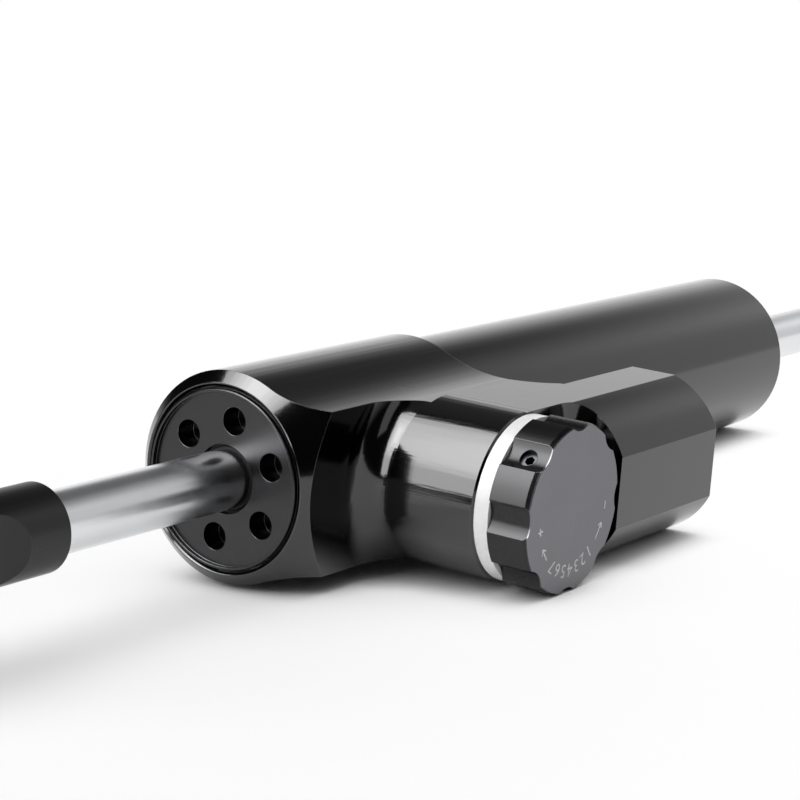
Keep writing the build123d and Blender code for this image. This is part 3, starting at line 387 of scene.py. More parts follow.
scene.world = make_room()
print("room nodes:", len(scene.world.node_tree.nodes))

# %% [markdown]
# ## Lamps
#
# One large softbox hangs high on the left of the camera. In the black metal it is a long bright band, with
# a hotter middle where its bulb sits, which is built from panels inside panels so that it has no hard edge.
# The band is bright because the box is much brighter than paper, and the same light on the white ring would
# burn it out. So the work is shared: these panels are seen only in mirrors, and three others light only
# what is matte. A long faint strip in front of the knob draws one line of light along the black sides when
# they are seen square on, which would otherwise be a plain silhouette.

# %% Softbox
LAMP_TARGET = Vector((-0.07, -0.02, 0))


def softbox(name, heading, height, distance, size, radiance, roll=0.0, mirrored=True, lights_matte=True):
    """Flat panel lamp that faces the damper. Angles are in degrees, and roll leans its top to the right."""
    away = towards(math.radians(heading), math.radians(height))
    data = bpy.data.lights.new(name, "AREA")
    data.shape = "RECTANGLE"
    data.size, data.size_y = size
    data.energy = radiance * math.pi * size[0] * size[1]
    lamp = bpy.data.objects.new(name, data)
    scene.collection.objects.link(lamp)
    side = away.cross(Vector((0, 0, 1))).normalized()
    top = side.cross(away)
    spin = math.radians(roll)
    leaned_side = math.cos(spin) * side - math.sin(spin) * top
    leaned_top = math.cos(spin) * top + math.sin(spin) * side
    place = Matrix((-leaned_side, leaned_top, away)).transposed().to_4x4()
    lamp.matrix_world = Matrix.Translation(LAMP_TARGET + away * distance) @ place
    lamp.visible_glossy = mirrored
    lamp.visible_diffuse = lights_matte


print("lamps look at mm:", [round(v / MM) for v in LAMP_TARGET])

# %% Lamps for mirrors
BOX_ROLL = 14.6
HOT_WIDTHS = (0.85, 0.65, 0.45, 0.25)
HOT_TALLNESS = 1.3
HOT_DISTANCE, HOT_STEP = 1.0, 0.01

softbox("panel_in_mirrors", heading=-64, height=44, distance=1.1, size=(1.13, 2.05), radiance=4.6,
        roll=BOX_ROLL, lights_matte=False)
for index, width in enumerate(HOT_WIDTHS):
    softbox(f"panel_hot_{index}", heading=-66, height=54, distance=HOT_DISTANCE - HOT_STEP * index,
            size=(width, HOT_TALLNESS * width), radiance=1.5, roll=BOX_ROLL, lights_matte=False)
softbox("strip_in_front", heading=172, height=50, distance=1.2, size=(1.5, 0.45), radiance=0.7,
        lights_matte=False)

# %% Lamps for matte surfaces
softbox("panel_right", heading=120, height=32, distance=1.2, size=(1.2, 0.75), radiance=0.75,
        mirrored=False)
softbox("panel_left", heading=-60, height=30, distance=1.3, size=(1.3, 1.3), radiance=2.2, mirrored=False)
softbox("panel_overhead", heading=20, height=80, distance=1.3, size=(1.6, 1.6), radiance=1.75,
        mirrored=False)

# %% [markdown]
# ## Lines that a tool leaves
#
# Every surface here was cut, ground or drawn, and each way leaves its own lines. A lathe leaves rings round
# the axis of the work, and a sliding die or a polishing belt leaves streaks along it. Both are noise with
# one direction squeezed: rings vary along the axis only, and streaks vary round it and hardly along it.
# They are heights for bump, not paint, because real tool lines change how light bounces and not the colour.
# The feed of a finishing cut is about a tenth of a millimetre, half a pixel from here, so the rings below
# are drawn two to five times as coarse. That is as fine as they still show.

# %% Places to measure from
def object_place(tree, centre=(0, 0, 0)):
    """Socket of the place on the object, measured from a centre."""
    place = add_node(tree, "ShaderNodeTexCoord")
    moved = add_node(
        tree, "ShaderNodeMapping", {"Location": tuple(-c for c in centre)},
        {"Vector": place.outputs["Object"]},
    )
    return moved.outputs["Vector"]


def step_from(tree, keep, centre):
    """Sockets of the step away from a centre and of its length. keep is 1 for each axis that counts."""
    step = add_node(
        tree, "ShaderNodeVectorMath", {"operation": "MULTIPLY", 1: keep}, {0: object_place(tree, centre)}
    )
    length = add_node(tree, "ShaderNodeVectorMath", {"operation": "LENGTH"}, {0: step.outputs["Vector"]})
    return step.outputs["Vector"], length.outputs["Value"]


print("places are measured on the object, so a pattern moves with its piece")

# %% Heights of tool lines
def lathe_lines(tree, travel, spacing):
    """Lines that a lathe tool leaves one after the other, from the socket of how far it has travelled."""
    scaled = add_node(tree, "ShaderNodeMath", {"operation": "DIVIDE", 1: spacing}, {0: travel})
    noise = add_node(
        tree, "ShaderNodeTexNoise",
        {"noise_dimensions": "1D", "Scale": 1.0, "Detail": 4.0, "Roughness": 0.6},
        {"W": scaled.outputs["Value"]},
    )
    return noise.outputs["Fac"]


def rings_along(tree, axis, spacing):
    """Rings across axis 0, 1 or 2, as a lathe leaves on the outside of a bar."""
    parts = add_node(tree, "ShaderNodeSeparateXYZ", {}, {"Vector": object_place(tree)})
    return lathe_lines(tree, parts.outputs[axis], spacing)


def facing_rings(tree, keep, spacing, centre=(0, 0, 0)):
    """Rings round a centre on a face that was turned flat. keep is 1 for each axis in the face."""
    _, radius = step_from(tree, keep, centre)
    return lathe_lines(tree, radius, spacing)


def streaks_along(tree, axis, width, length):
    """Streaks of that width and length that run along axis 0, 1 or 2."""
    scale = [1 / width] * 3
    scale[axis] = 1 / length
    squeezed = add_node(
        tree, "ShaderNodeVectorMath", {"operation": "MULTIPLY", 1: tuple(scale)}, {0: object_place(tree)}
    )
    noise = add_node(
        tree, "ShaderNodeTexNoise", {"Scale": 1.0, "Detail": 3.0, "Roughness": 0.55},
        {"Vector": squeezed.outputs["Vector"]},
    )
    return noise.outputs["Fac"]


def blended(tree, share, first, second):
    """Socket that goes from the first height to the second as the share goes from 0 to 1."""
    mixed = add_node(tree, "ShaderNodeMix", {"data_type": "FLOAT"}, {2: first, 3: second})
    if isinstance(share, float):
        mixed.inputs[0].default_value = share
    else:
        tree.links.new(share, mixed.inputs[0])
    return mixed.outputs[0]


print("ways to leave a line: rings along an axis, rings on a face, streaks")

# %% [markdown]
# ## Edges that are rubbed bright, with painted highlights
#
# The first place where a finish wears is its sharp edges. A mask for them could be painted, but a Bevel
# node finds them by itself: it rounds the normal, and where the rounded normal departs from the true one
# there is an edge. The rounded normal also lets every edge catch a thin line of light, as a real one does.
# The lighter grey that the black finishes lay on this mask is partly wear and partly a painted highlight.

# %% Edges
EDGE_WEAR_WIDTH = 0.14 * MM
EDGE_BEGINS, EDGE_FULL = 0.99, 0.80


def edge_mask(tree):
    """How much of an edge is here, from 0 to 1, and the rounded normal."""
    rounded = add_node(tree, "ShaderNodeBevel", {"samples": 6, "Radius": EDGE_WEAR_WIDTH})
    surface = add_node(tree, "ShaderNodeNewGeometry")
    agreement = add_node(
        tree, "ShaderNodeVectorMath", {"operation": "DOT_PRODUCT"},
        {0: rounded.outputs["Normal"], 1: surface.outputs["Normal"]},
    )
    mask = add_node(
        tree, "ShaderNodeMapRange", {"From Min": EDGE_BEGINS, "From Max": EDGE_FULL},
        {"Value": agreement.outputs["Value"]},
    )
    return mask.outputs["Result"], rounded.outputs["Normal"]


print("edges wear over mm:", round(EDGE_WEAR_WIDTH / MM, 2))

# %% [markdown]
# ## Black anodised aluminium
#
# Anodising grows a hard, clear, glass-like layer of aluminium oxide on the metal and dyes it. The dyed
# metal below is nearly black, and the oxide above mirrors the room weakly face-on and strongly at a
# glancing angle. That is why the flats seen edge-on are pale and the faces turned to the camera are nearly
# black. A plain glossy black plastic would do the same in part, but its clear layer has a lower refractive
# index and its edges don't wear. The recipe is a dark metal under a clear coat with the oxide's index of
# about 1.7. Metal dyed this dark mirrors little at any angle, so its tint at the edge of view is dark too.
# Blasting with beads leaves dimples of about a tenth of a millimetre, drawn twice that so that they show.

# %% Dye, and painted light on the knob's face
FACE_SKIN, BELOW_SKIN = 0.1 * MM, 0.3 * MM


def dye_and_face_light_colour(tree, place, cloud, dyes, painted_face_light):
    """Socket of the dye, which drifts between two shades. A face light is a lighter grey painted on the
    knob's turned face, as the light that face catches.
    """
    shade = add_node(
        tree, "ShaderNodeMix", {"data_type": "RGBA", 6: linear(dyes[0]), 7: linear(dyes[1])}, {0: cloud}
    )
    if not painted_face_light:
        return shade.outputs[2]
    # The knob's face is painted a lighter grey than its rim: painted light that the face catches.
    parts = add_node(tree, "ShaderNodeSeparateXYZ", {}, {"Vector": place})
    face_light_mask = add_node(
        tree, "ShaderNodeMapRange",
        {"From Min": KNOB_FACE + BELOW_SKIN, "From Max": KNOB_FACE + FACE_SKIN},
        {"Value": parts.outputs["Y"]},
    )
    face_lightened = add_node(
        tree, "ShaderNodeMix", {"data_type": "RGBA", 7: linear(painted_face_light)},
        {0: face_light_mask.outputs["Result"], 6: shade.outputs[2]},
    )
    return face_lightened.outputs[2]


print("the knob's face ends at Y in mm:", round(KNOB_FACE / MM, 1))

# %% Anodised aluminium
OXIDE_IOR = 1.70
EDGE_TINT = "7C7C7E"
# Lighter grey on the edges: partly wear, partly a painted highlight.
WORN_AND_HIGHLIT_EDGE = "5A5C60"
CLOUD_SIZE = 6.0 * MM
CLOUD_THIN, CLOUD_DENSE = 0.35, 0.65
GLOSSIEST, DULLEST = 0.9, 1.3
BLAST_GRAIN = 0.19 * MM
BLAST_DEPTH = 0.004 * MM


def anodised(name, dyes, roughness, lines, depth, oxide=1.0, grit=0.0, painted_face_light=None):
    """Dyed anodised aluminium. oxide is how much of the clear layer is polished enough to mirror."""
    material, tree = start_material(name)
    place = object_place(tree)
    cloud = add_node(
        tree, "ShaderNodeTexNoise", {"Scale": 1 / CLOUD_SIZE, "Detail": 5.0, "Roughness": 0.55},
        {"Vector": place},
    )
    speck = add_node(
        tree, "ShaderNodeTexNoise", {"Scale": 1 / BLAST_GRAIN, "Detail": 2.0}, {"Vector": place}
    )
    gloss = add_node(
        tree, "ShaderNodeMapRange",
        {"From Min": CLOUD_THIN, "From Max": CLOUD_DENSE,
         "To Min": roughness * GLOSSIEST, "To Max": roughness * DULLEST},
        {"Value": cloud.outputs["Fac"]},
    )
    wear_and_highlight, rounded = edge_mask(tree)
    dye_with_face_light = dye_and_face_light_colour(tree, place, cloud.outputs["Fac"], dyes, painted_face_light)
    # Edges turn that lighter grey: partly wear, partly a painted highlight.
    colour = add_node(
        tree, "ShaderNodeMix", {"data_type": "RGBA", 7: linear(WORN_AND_HIGHLIT_EDGE)}, {0: wear_and_highlight, 6: dye_with_face_light}
    )
    bump = add_node(
        tree, "ShaderNodeBump", {"Strength": 1.0, "Distance": depth},
        {"Height": lines(tree), "Normal": rounded},
    )
    grain = add_node(
        tree, "ShaderNodeBump", {"Strength": grit, "Distance": BLAST_DEPTH},
        {"Height": speck.outputs["Fac"], "Normal": bump.outputs["Normal"]},
    )
    shader = add_node(
        tree, "ShaderNodeBsdfPrincipled",
        {"Metallic": 1.0, "Coat Weight": oxide, "Coat IOR": OXIDE_IOR, "Coat Roughness": roughness,
         "Specular Tint": linear(EDGE_TINT)},
        {"Base Color": colour.outputs[2], "Roughness": gloss.outputs["Result"],
         "Normal": grain.outputs["Normal"], "Coat Normal": grain.outputs["Normal"]},
    )
    add_node(tree, "ShaderNodeOutputMaterial", {}, {"Surface": shader.outputs["BSDF"]})
    return material


print("oxide mirrors face-on:", round(((OXIDE_IOR - 1) / (OXIDE_IOR + 1)) ** 2, 3))

# %% [markdown]
# ## The block's three kinds of lines
#
# The block is one billet. It was turned about the rod's axis and then about the knob's, and its flats were
# milled, so its lines change direction from the body to the boss and almost vanish on the flats. It could
# be cut into three materials, but the mesh has no seams to cut at. So the shader asks each point how far it
# is from each axis, and whether it faces straight away from it. Its bump looks deep in figures, because
# the streaks are two millimetres wide: what the eye sees is their slope, and that is a degree or two.

# %% Lines of the block and the tube
BOSS_RADIUS = 14.3 * MM
ROUND_NEAR, ROUND_FAR = 0.06 * MM, 0.30 * MM
RADIAL_ENOUGH = 0.98
MILLED_SHARE = 0.2


def on_round(tree, keep, centre, radius):
    """Socket that is 1 on the round outside about a centre. keep is 1 for each axis across the round."""
    step, distance = step_from(tree, keep, centre)
    off = add_node(tree, "ShaderNodeMath", {"operation": "SUBTRACT", 1: radius}, {0: distance})
    size = add_node(tree, "ShaderNodeMath", {"operation": "ABSOLUTE"}, {0: off.outputs["Value"]})
    near = add_node(
        tree, "ShaderNodeMapRange",
        {"interpolation_type": "SMOOTHSTEP", "From Min": ROUND_FAR, "From Max": ROUND_NEAR},
        {"Value": size.outputs["Value"]},
    )
    outward = add_node(tree, "ShaderNodeVectorMath", {"operation": "NORMALIZE"}, {0: step})
    surface = add_node(tree, "ShaderNodeNewGeometry")
    facing = add_node(
        tree, "ShaderNodeVectorMath", {"operation": "DOT_PRODUCT"},
        {0: outward.outputs["Vector"], 1: surface.outputs["True Normal"]},
    )
    radial = add_node(
        tree, "ShaderNodeMath", {"operation": "GREATER_THAN", 1: RADIAL_ENOUGH},
        {0: facing.outputs["Value"]},
    )
    both = add_node(
        tree, "ShaderNodeMath", {"operation": "MULTIPLY"},
        {0: near.outputs["Result"], 1: radial.outputs["Value"]},
    )
    return both.outputs["Value"]


def block_lines(tree):
    """Rings and streaks on the turned body and boss, and much fainter streaks on the milled flats."""
    milled = add_node(
        tree, "ShaderNodeMapRange",
        {"To Min": 0.5 - MILLED_SHARE / 2, "To Max": 0.5 + MILLED_SHARE / 2},
        {"Value": streaks_along(tree, 0, 1.6 * MM, 60 * MM)},
    )
    body = blended(tree, 0.95, rings_along(tree, 0, 0.35 * MM), streaks_along(tree, 0, 2.4 * MM, 90 * MM))
    boss = blended(tree, 0.95, rings_along(tree, 1, 0.30 * MM), streaks_along(tree, 1, 1.6 * MM, 30 * MM))
    on_body = on_round(tree, (0, 1, 1), (0, 0, 0), BLOCK_RADIUS)
    on_boss = on_round(tree, (1, 0, 1), (KNOB_X, 0, 0), BOSS_RADIUS)
    return blended(tree, on_boss, blended(tree, on_body, milled.outputs["Result"], body), boss)


def tube_lines(tree):
    """Streaks from the die and the belt that run along the tube, over faint rings."""
    return blended(tree, 0.85, rings_along(tree, 0, 0.5 * MM), streaks_along(tree, 0, 1.4 * MM, 70 * MM))


print("turned radii in mm:", round(BLOCK_RADIUS / MM, 1), round(BOSS_RADIUS / MM, 1))

# %% [markdown]
# ## Five black finishes
#
# They share the anodised recipe and differ in how their surface was made, which the eye reads as gloss. The
# block and the tube are bright, the cap was faced on a lathe and left satin, and the rod end is duller
# from handling. The knob was blasted with beads, and its face was turned afterwards. Its face is painted a
# dark grey, lighter than its rim, and that is painted light: the light that the face catches.

# %% Black finishes
# Turned and milled billet: a deep black mirror with slow streaks in its highlights.
block_black = anodised("hard_anodised_billet", ("050506", "101012"), 0.11, block_lines, 0.06 * MM)
# Drawn and belt-polished tube: as black as the block, with a straighter, softer mirror.
tube_black = anodised("drawn_anodised_tube", ("040405", "0D0D0F"), 0.13, tube_lines, 0.016 * MM)
# Faced cap: satin, with fine rings round the rod.
cap_black = anodised(
    "turned_anodised_cap", ("08080A", "141417"), 0.27,
    lambda tree: facing_rings(tree, (0, 1, 1), 0.22 * MM), 0.0012 * MM, oxide=0.6,
)
# Bead-blasted knob: a grainy satin, and a turned face painted dark grey as the light it catches.
knob_black = anodised(
    "bead_blasted_anodised_knob", ("0C0C0E", "18181A"), 0.27,
    lambda tree: facing_rings(tree, (1, 0, 1), 0.35 * MM, (KNOB_X, 0, 0)), 0.0004 * MM,
    oxide=0.5, grit=0.8, painted_face_light="757579",
)
# Handled rod end: the dullest of the five.
rod_end_black = anodised(
    "satin_anodised_rod_end", ("060607", "101012"), 0.30,
    lambda tree: rings_along(tree, 0, 0.3 * MM), 0.001 * MM, oxide=0.6,
)
print("black finishes:", [m.name for m in (block_black, tube_black, cap_black, knob_black, rod_end_black)])

# %% [markdown]
# ## Bright and dark metals
#
# The rod is hard-chromed and ground true on a centreless grinder, which leaves a faint lay round it and a
# soft mirror. The liner, race and spindle are bare steel, the glands bare aluminium, the bushes sintered
# bronze, and the screws are blackened steel, except the knob's set screw, which is painted a lighter grey
# as the light it catches. Each could have its own recipe, but one serves them all: a metal's own colour,
# a roughness that drifts a little, and lines with the spacing of the cut.

# %% Metal recipe
DRIFT_SIZE = 8.0 * MM
DRIFT_LOW, DRIFT_HIGH = 0.3, 0.7
GLOSS_DRIFT = 0.12


def bare_metal(name, colours, roughness, lines, depth):
    """Uncoated metal between two shades. lines makes the height of its tool lines."""
    material, tree = start_material(name)
    cloud = add_node(
        tree, "ShaderNodeTexNoise", {"Scale": 1 / DRIFT_SIZE, "Detail": 4.0},
        {"Vector": object_place(tree)},
    )
    gloss = add_node(
        tree, "ShaderNodeMapRange",
        {"From Min": DRIFT_LOW, "From Max": DRIFT_HIGH,
         "To Min": roughness * (1 - GLOSS_DRIFT), "To Max": roughness * (1 + GLOSS_DRIFT)},
        {"Value": cloud.outputs["Fac"]},
    )
    shade = add_node(
        tree, "ShaderNodeMix", {"data_type": "RGBA", 6: linear(colours[0]), 7: linear(colours[1])},
        {0: cloud.outputs["Fac"]},
    )
    bump = add_node(
        tree, "ShaderNodeBump", {"Strength": 1.0, "Distance": depth}, {"Height": lines(tree)}
    )
    shader = add_node(
        tree, "ShaderNodeBsdfPrincipled", {"Metallic": 1.0},
        {"Base Color": shade.outputs[2], "Roughness": gloss.outputs["Result"],
         "Normal": bump.outputs["Normal"]},
    )
    add_node(tree, "ShaderNodeOutputMaterial", {}, {"Surface": shader.outputs["BSDF"]})
    return material


print("gloss drifts by percent:", round(GLOSS_DRIFT * 100))

# %% Metals
def ground_lines(tree):
    """Rings from the grinding wheel, coarser than real to show, and streaks from the rod's strokes."""
    return blended(tree, 0.35, rings_along(tree, 0, 0.25 * MM), streaks_along(tree, 0, 0.7 * MM, 25 * MM))


# Ground chrome: bright and nearly white, with edges of what it mirrors drawn soft.
chrome = bare_metal("ground_hard_chrome", ("DEDFE2", "EAEBED"), 0.24, ground_lines, 0.0012 * MM)
# Lapped chrome: the one clean mirror on the damper.
ball_chrome = bare_metal(
    "lapped_chrome_ball", ("CFD0D4", "DADBDE"), 0.09,
    lambda tree: facing_rings(tree, (1, 0, 1), 0.2 * MM), 0.0003 * MM,
)
# Turned steel: mid grey and satin.
steel = bare_metal(
    "turned_steel", ("A9AAAD", "B9BABD"), 0.28, lambda tree: rings_along(tree, 0, 0.3 * MM), 0.001 * MM
)
# Bare aluminium: paler than steel, and as satin.
aluminium = bare_metal(
    "bare_turned_aluminium", ("C6C7C9", "D3D4D6"), 0.30,
    lambda tree: rings_along(tree, 0, 0.3 * MM), 0.001 * MM,
)
# Sintered bronze: dull and golden, from grains pressed together.
bronze = bare_metal(
    "sintered_bronze", ("A87C48", "BC9160"), 0.45, lambda tree: rings_along(tree, 0, 0.2 * MM), 0.002 * MM
)
# Black oxide: a thin dark skin that is still a metal to the eye.
oxide_steel = bare_metal(
    "black_oxide_screw_steel", ("1E1E22", "2C2C30"), 0.33,
    lambda tree: rings_along(tree, 1, 0.2 * MM), 0.001 * MM,
)
# Set screw: painted lighter than black oxide as the light it catches, so that its rim shows in its black
# hole.
set_screw_lightened = bare_metal(
    "set_screw_painted_lighter", ("3A3B3F", "48494D"), 0.34,
    lambda tree: rings_along(tree, 0, 0.2 * MM), 0.001 * MM,
)
METALS = (chrome, ball_chrome, steel, aluminium, bronze, oxide_steel, set_screw_lightened)
print("metals:", [m.name for m in METALS])

# %% [markdown]
# ## Rubber and plastic
#
# Seals are matte nitrile rubber with a faint bloom. The index ring is turned from white acetal, a waxy
# plastic that scatters light a little below its surface. The piston ring is brown filled fluoropolymer. All
# three could be flat colours at this size, but a little grain keeps them from looking like paint. Their
# real grain is a tenth of a millimetre or less, and it is drawn three to six times as coarse to show.

# %% Rubber and plastic
def moulded(name, dark, light, roughness, grain_size, bump_depth, extra=None):
    """Plastic or rubber between two shades, with grain of that size."""
    material, tree = start_material(name)
    grain = add_node(
        tree, "ShaderNodeTexNoise", {"Scale": 1 / grain_size, "Detail": 3.0},
        {"Vector": object_place(tree)},
    )
    colour = add_node(
        tree, "ShaderNodeMix", {"data_type": "RGBA", 6: linear(dark), 7: linear(light)},
        {0: grain.outputs["Fac"]},
    )
    gloss = add_node(
        tree, "ShaderNodeMapRange", {"To Min": roughness * 0.9, "To Max": roughness * 1.1},
        {"Value": grain.outputs["Fac"]},
    )
    bump = add_node(
        tree, "ShaderNodeBump", {"Strength": 0.6, "Distance": bump_depth}, {"Height": grain.outputs["Fac"]}
    )
    shader = add_node(
        tree, "ShaderNodeBsdfPrincipled", extra or {},
        {"Base Color": colour.outputs[2], "Roughness": gloss.outputs["Result"],
         "Normal": bump.outputs["Normal"]},
    )
    add_node(tree, "ShaderNodeOutputMaterial", {}, {"Surface": shader.outputs["BSDF"]})
    return material


WAX_DEPTH = {"Subsurface Weight": 0.15, "Subsurface Radius": (MM, MM, MM)}
# Nitrile rubber: matte, and a shade lighter than the black metal round it.
rubber = moulded("nitrile_rubber", "0A0A0A", "161616", 0.6, 0.4 * MM, 0.003 * MM)
# Acetal: white with a low gloss and a little depth.
acetal = moulded("white_acetal", "E6E6E6", "F2F2F2", 0.34, 0.6 * MM, 0.001 * MM, WAX_DEPTH)
# Filled fluoropolymer: brown and smooth.
ring_brown = moulded("filled_fluoropolymer", "5A3A26", "6E4A32", 0.45, 0.3 * MM, 0.001 * MM)
print("rubber and plastics:", [m.name for m in (rubber, acetal, ring_brown)])

# %% [markdown]
# ## Dressing the solids
#
# Each solid belongs to one of the finishes in the construction's own list, so a dictionary from finish to
# material is nearly all it takes. Two kinds of solid are exceptions: the balls are lapped finer than the
# rod, and the knob's set screw is painted a lighter grey than black oxide, as the light it catches.

# %% Assign materials
FINISHES = {
    "anodised_block": block_black,
    "anodised_tube": tube_black,
    "anodised_cap": cap_black,
    "anodised_knob": knob_black,
    "plain_aluminium": aluminium,
    "rod_end_aluminium": rod_end_black,
    "polished_rod": chrome,
    "liner_steel": steel,
    "black_oxide_steel": oxide_steel,
    "bush_bronze": bronze,
    "seal_rubber": rubber,
    "ring_plastic": ring_brown,
    "white_plastic": acetal,
}
# The set screw's lighter grey is painted light, for the light it catches in its hole.
EXCEPTIONS = {"spherical_ball": ball_chrome, "detent_ball": ball_chrome, "knob_set_screw": set_screw_lightened}
for subpart in frame["record"]["subparts"]:
    solid = nodes[subpart["node"]]
    finish = EXCEPTIONS.get(subpart["node"], FINISHES[subpart["material_slot"]])
    solid.data.materials.clear()
    solid.data.materials.append(finish)

# %% [markdown]
# ## Threads in the cap's groove
#
# The gland cap screws into the block, and the last turns of both threads can just be seen as fine bright
# lines in the groove round it. A thread is a ridge that follows a helix, so Geometry Nodes make it from two
# curves: a spiral that never widens, and a small ring swept along it. Cutting it into the construction
# would take far more faces for something this fine. The real pitch of about half a millimetre is kept.

# %% Thread helix
HELIX_STEPS = 90
CREST_SIDES = 6


def thread_tree(material):
    """Node group that makes one helical ridge along +X, with its sizes as inputs."""
    tree = bpy.data.node_groups.new("helical_thread", "GeometryNodeTree")
    for name in ("Radius", "Pitch", "Turns", "Crest radius", "Start"):
        tree.interface.new_socket(name, in_out="INPUT", socket_type="NodeSocketFloat")
    tree.interface.new_socket("Geometry", in_out="OUTPUT", socket_type="NodeSocketGeometry")
    given = add_node(tree, "NodeGroupInput")
    rise = add_node(
        tree, "ShaderNodeMath", {"operation": "MULTIPLY"},
        {0: given.outputs["Pitch"], 1: given.outputs["Turns"]},
    )
    spiral = add_node(
        tree, "GeometryNodeCurveSpiral", {"Resolution": HELIX_STEPS},
        {"Rotations": given.outputs["Turns"], "Start Radius": given.outputs["Radius"],
         "End Radius": given.outputs["Radius"], "Height": rise.outputs["Value"]},
    )
    profile = add_node(
        tree, "GeometryNodeCurvePrimitiveCircle", {"Resolution": CREST_SIDES},
        {"Radius": given.outputs["Crest radius"]},
    )
    ridge = add_node(
        tree, "GeometryNodeCurveToMesh", {"Fill Caps": True},
        {"Curve": spiral.outputs["Curve"], "Profile Curve": profile.outputs["Curve"]},
    )
    shift = add_node(tree, "ShaderNodeCombineXYZ", {}, {"X": given.outputs["Start"]})
    laid = add_node(
        tree, "GeometryNodeTransform", {"Rotation": (0, math.radians(90), 0)},
        {"Geometry": ridge.outputs["Mesh"], "Translation": shift.outputs["Vector"]},
    )
    real = add_node(tree, "GeometryNodeRealizeInstances", {}, {"Geometry": laid.outputs["Geometry"]})
    painted = add_node(
        tree, "GeometryNodeSetMaterial", {"Material": material}, {"Geometry": real.outputs["Geometry"]}
    )
    add_node(tree, "NodeGroupOutput", {}, {"Geometry": painted.outputs["Geometry"]})
    return tree


threads = thread_tree(cap_black)
print("thread inputs:", [item.name for item in threads.interface.items_tree if item.in_out == "INPUT"])

# %% Threads on the cap's neck and in the block's mouth
THREAD_PITCH = 0.5 * MM
THREAD_TURNS = 2.2
THREAD_START = 0.45 * MM
CREST_RADIUS = 0.075 * MM
CAP_NECK_RADIUS = 15.03 * MM
MOUTH_RADIUS = 15.44 * MM


def grown_piece(name, tree, sizes):
    """Runs a node group on an empty mesh with those sizes, and returns the result as a plain mesh."""
    seed = bpy.data.objects.new(name, bpy.data.meshes.new(name + "_seed"))
    scene.collection.objects.link(seed)
    modifier = seed.modifiers.new(name, "NODES")
    modifier.node_group = tree
    for item in tree.interface.items_tree:
        if item.item_type == "SOCKET" and item.in_out == "INPUT":
            modifier[item.identifier] = sizes[item.name]
    evaluated = seed.evaluated_get(bpy.context.evaluated_depsgraph_get())
    mesh = bpy.data.meshes.new_from_object(evaluated)
    seed.modifiers.remove(modifier)
    seed.data = mesh
    return seed


for name, radius, slot in (
    ("cap_neck_thread", CAP_NECK_RADIUS, "anodised_cap"),
    ("block_mouth_thread", MOUTH_RADIUS, "anodised_block"),
):
    thread_sizes = {
        "Radius": radius, "Pitch": THREAD_PITCH, "Turns": THREAD_TURNS, "Crest radius": CREST_RADIUS,
        "Start": BLOCK_FRONT + THREAD_START,
    }
    thread = grown_piece(name, threads, thread_sizes)
    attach(thread, "damper_body")
    print(name, "faces:", len(thread.data.polygons), "X from mm:",
          round(min(v.co.x for v in thread.data.vertices) / MM, 2))

# %% [markdown]
# ## Marks on the knob
#
# The knob's face carries small white marks, laser-etched through the black: a plus and a minus, an arrow
# towards each, and a row of digits between them. Laser marks have no thickness to speak of. Painting them
# in the shader would need a drawing, so they are solids thinner than paper, which cast no odd shadows and
# stay crisp. Arrows and signs are slabs, and two slabs that cross differ by a hair in thickness, because
# faces in one plane would flicker.

# %% Strokes on the face
MARK_RADIUS = 10.2 * MM
MARK_THICKNESS = 0.02 * MM
STROKE_WIDTH = 0.28 * MM
LEVEL_STEP = 0.003 * MM
ETCH_GRAIN, ETCH_DEPTH = 0.1 * MM, 0.0005 * MM

# Laser-etched mark: matte and off-white, where the beam has burnt the dye out of the oxide.
etched_white = moulded("laser_etched_mark", "D2D2D2", "E0E0E0", 0.6, ETCH_GRAIN, ETCH_DEPTH)


def face_point(radius, degrees, out=0.0):
    """Point on the knob's face. Degrees run from +X towards +Z, as seen from outside."""
    angle = math.radians(degrees)
    return Vector((KNOB_X + radius * math.cos(angle), KNOB_FACE - out, radius * math.sin(angle)))


def add_stroke(mesh, start, end, level=0):
    """Adds a thin straight slab on the knob's face. Slabs that cross need levels of their own."""
    along = (end - start).normalized()
    side = along.cross(Vector((0, 1, 0))) * STROKE_WIDTH / 2
    lift = Vector((0, -MARK_THICKNESS - level * LEVEL_STEP, 0))
    base = [start - side, start + side, end + side, end - side]
    low = [mesh.verts.new(p) for p in base]
    high = [mesh.verts.new(p + lift) for p in base]
    mesh.faces.new(low)
    mesh.faces.new(high[::-1])
    for i in range(4):
        j = (i + 1) % 4
        mesh.faces.new((low[i], high[i], high[j], low[j]))


print("marks stand proud by mm:", round(MARK_THICKNESS / MM, 3))

# %% Arrows and signs
ARROW_HEAD = 0.80 * MM
HEAD_SPREAD = 0.8
SIGN_REACH = 0.65 * MM
ARROW_TO_PLUS = (-136, -150)
ARROW_TO_MINUS = (-39, -22)
PLUS_AT, MINUS_AT = -169, -5


def add_arrow(mesh, start_degrees, tip_degrees):
    """Adds an arrow along the marks' circle."""
    start, tip = face_point(MARK_RADIUS, start_degrees), face_point(MARK_RADIUS, tip_degrees)
    along = (start - tip).normalized()
    side = along.cross(Vector((0, 1, 0)))
    add_stroke(mesh, start, tip)
    for level, sign in ((1, -1), (2, 1)):
        add_stroke(mesh, tip, tip + (along + HEAD_SPREAD * sign * side) * ARROW_HEAD, level)


def add_sign(mesh, degrees, cross):
    """Adds a minus along the marks' circle, or a plus where cross is true."""
    centre = face_point(MARK_RADIUS, degrees)
    outward = (centre - face_point(0, 0)).normalized()
    side = outward.cross(Vector((0, 1, 0)))
    add_stroke(mesh, centre - side * SIGN_REACH, centre + side * SIGN_REACH)
    if cross:
        add_stroke(mesh, centre - outward * SIGN_REACH, centre + outward * SIGN_REACH, 1)


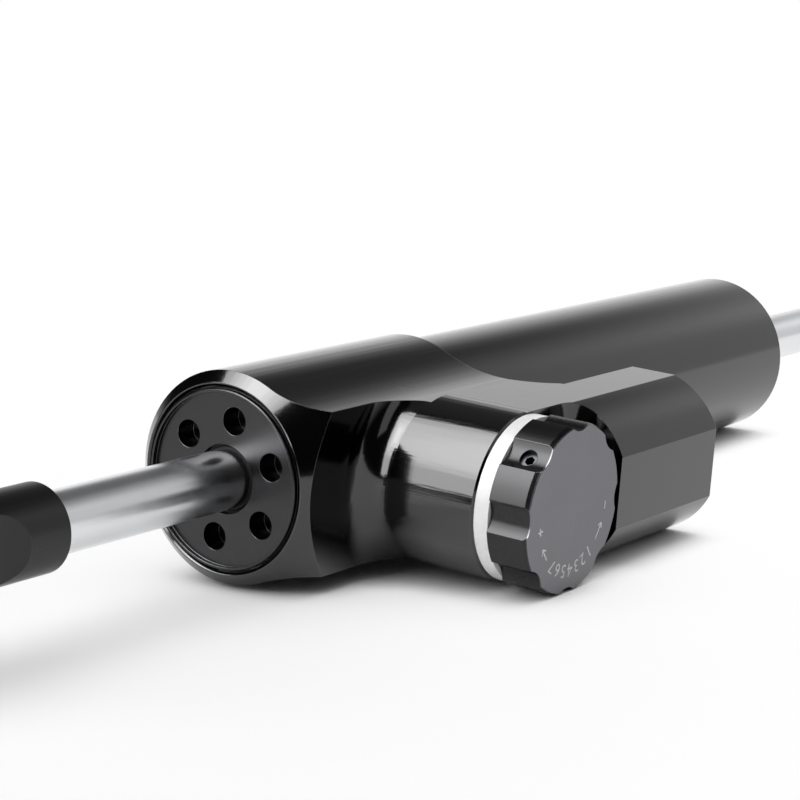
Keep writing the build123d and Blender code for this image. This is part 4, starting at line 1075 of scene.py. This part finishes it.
def etched_piece(name, mesh):
    """Turns a bmesh into an object in the marks' finish, with its faces pointing outwards."""
    bmesh.ops.recalc_face_normals(mesh, faces=mesh.faces)
    data = bpy.data.meshes.new(name)
    mesh.to_mesh(data)
    mesh.free()
    piece = bpy.data.objects.new(name, data)
    scene.collection.objects.link(piece)
    piece.data.materials.append(etched_white)
    return piece


strokes = bmesh.new()
add_arrow(strokes, *ARROW_TO_PLUS)
add_arrow(strokes, *ARROW_TO_MINUS)
add_sign(strokes, PLUS_AT, cross=True)
add_sign(strokes, MINUS_AT, cross=False)
marks = etched_piece("knob_arrows_and_signs", strokes)
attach(marks, "adjuster")
print("strokes:", len(marks.data.polygons) // 6)

# %% [markdown]
# ## Digits along the arc
#
# The digits stand on the same circle as the other marks, with their feet towards the knob's centre. They
# could be drawn from strokes too, but Blender's own font has better curves. Each character is extruded as
# thin as the strokes, made a mesh, and only then laid on the face, so that the finished object itself stays
# at the origin like every solid of the construction.

# %% Digits
DIGIT_COUNT = 7
DIGIT_HEIGHT = 2.25 * MM
FONT_HEIGHT_SHARE = 0.7
DIGITS_START, DIGITS_END = -53.0, -123.0
SAME_POINT = 0.001 * MM


def digit_mesh(character):
    """Mesh of one thin solid character, centred, in the plane X right and Y up."""
    text = bpy.data.curves.new("digit", "FONT")
    text.body = character
    text.size = DIGIT_HEIGHT / FONT_HEIGHT_SHARE
    text.align_x = "CENTER"
    text.extrude = MARK_THICKNESS / 2
    holder = bpy.data.objects.new("digit", text)
    scene.collection.objects.link(holder)
    mesh = bpy.data.meshes.new_from_object(holder.evaluated_get(bpy.context.evaluated_depsgraph_get()))
    bpy.data.objects.remove(holder)
    mesh.transform(Matrix.Translation((0, -DIGIT_HEIGHT / 2, 0)))
    return mesh


joined = bmesh.new()
middle = face_point(0, 0, MARK_THICKNESS / 2)
to_viewer = Vector((0, -1, 0))
for index in range(DIGIT_COUNT):
    degrees = DIGITS_START + (DIGITS_END - DIGITS_START) * index / (DIGIT_COUNT - 1)
    centre = face_point(MARK_RADIUS, degrees, MARK_THICKNESS / 2)
    outward = (centre - middle).normalized()
    reading = outward.cross(to_viewer)
    place = Matrix((reading, outward, to_viewer)).transposed().to_4x4()
    mesh = digit_mesh(str(index + 1))
    mesh.transform(Matrix.Translation(centre) @ place)
    joined.from_mesh(mesh)
    bpy.data.meshes.remove(mesh)
bmesh.ops.remove_doubles(joined, verts=joined.verts, dist=SAME_POINT)
digits = etched_piece("knob_digits", joined)
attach(digits, "adjuster")
print("digit faces:", len(digits.data.polygons))

# %% [markdown]
# ## The view transform
#
# The view transform is Standard, which shows each colour as it was written.

scene.view_settings.view_transform = "Standard"
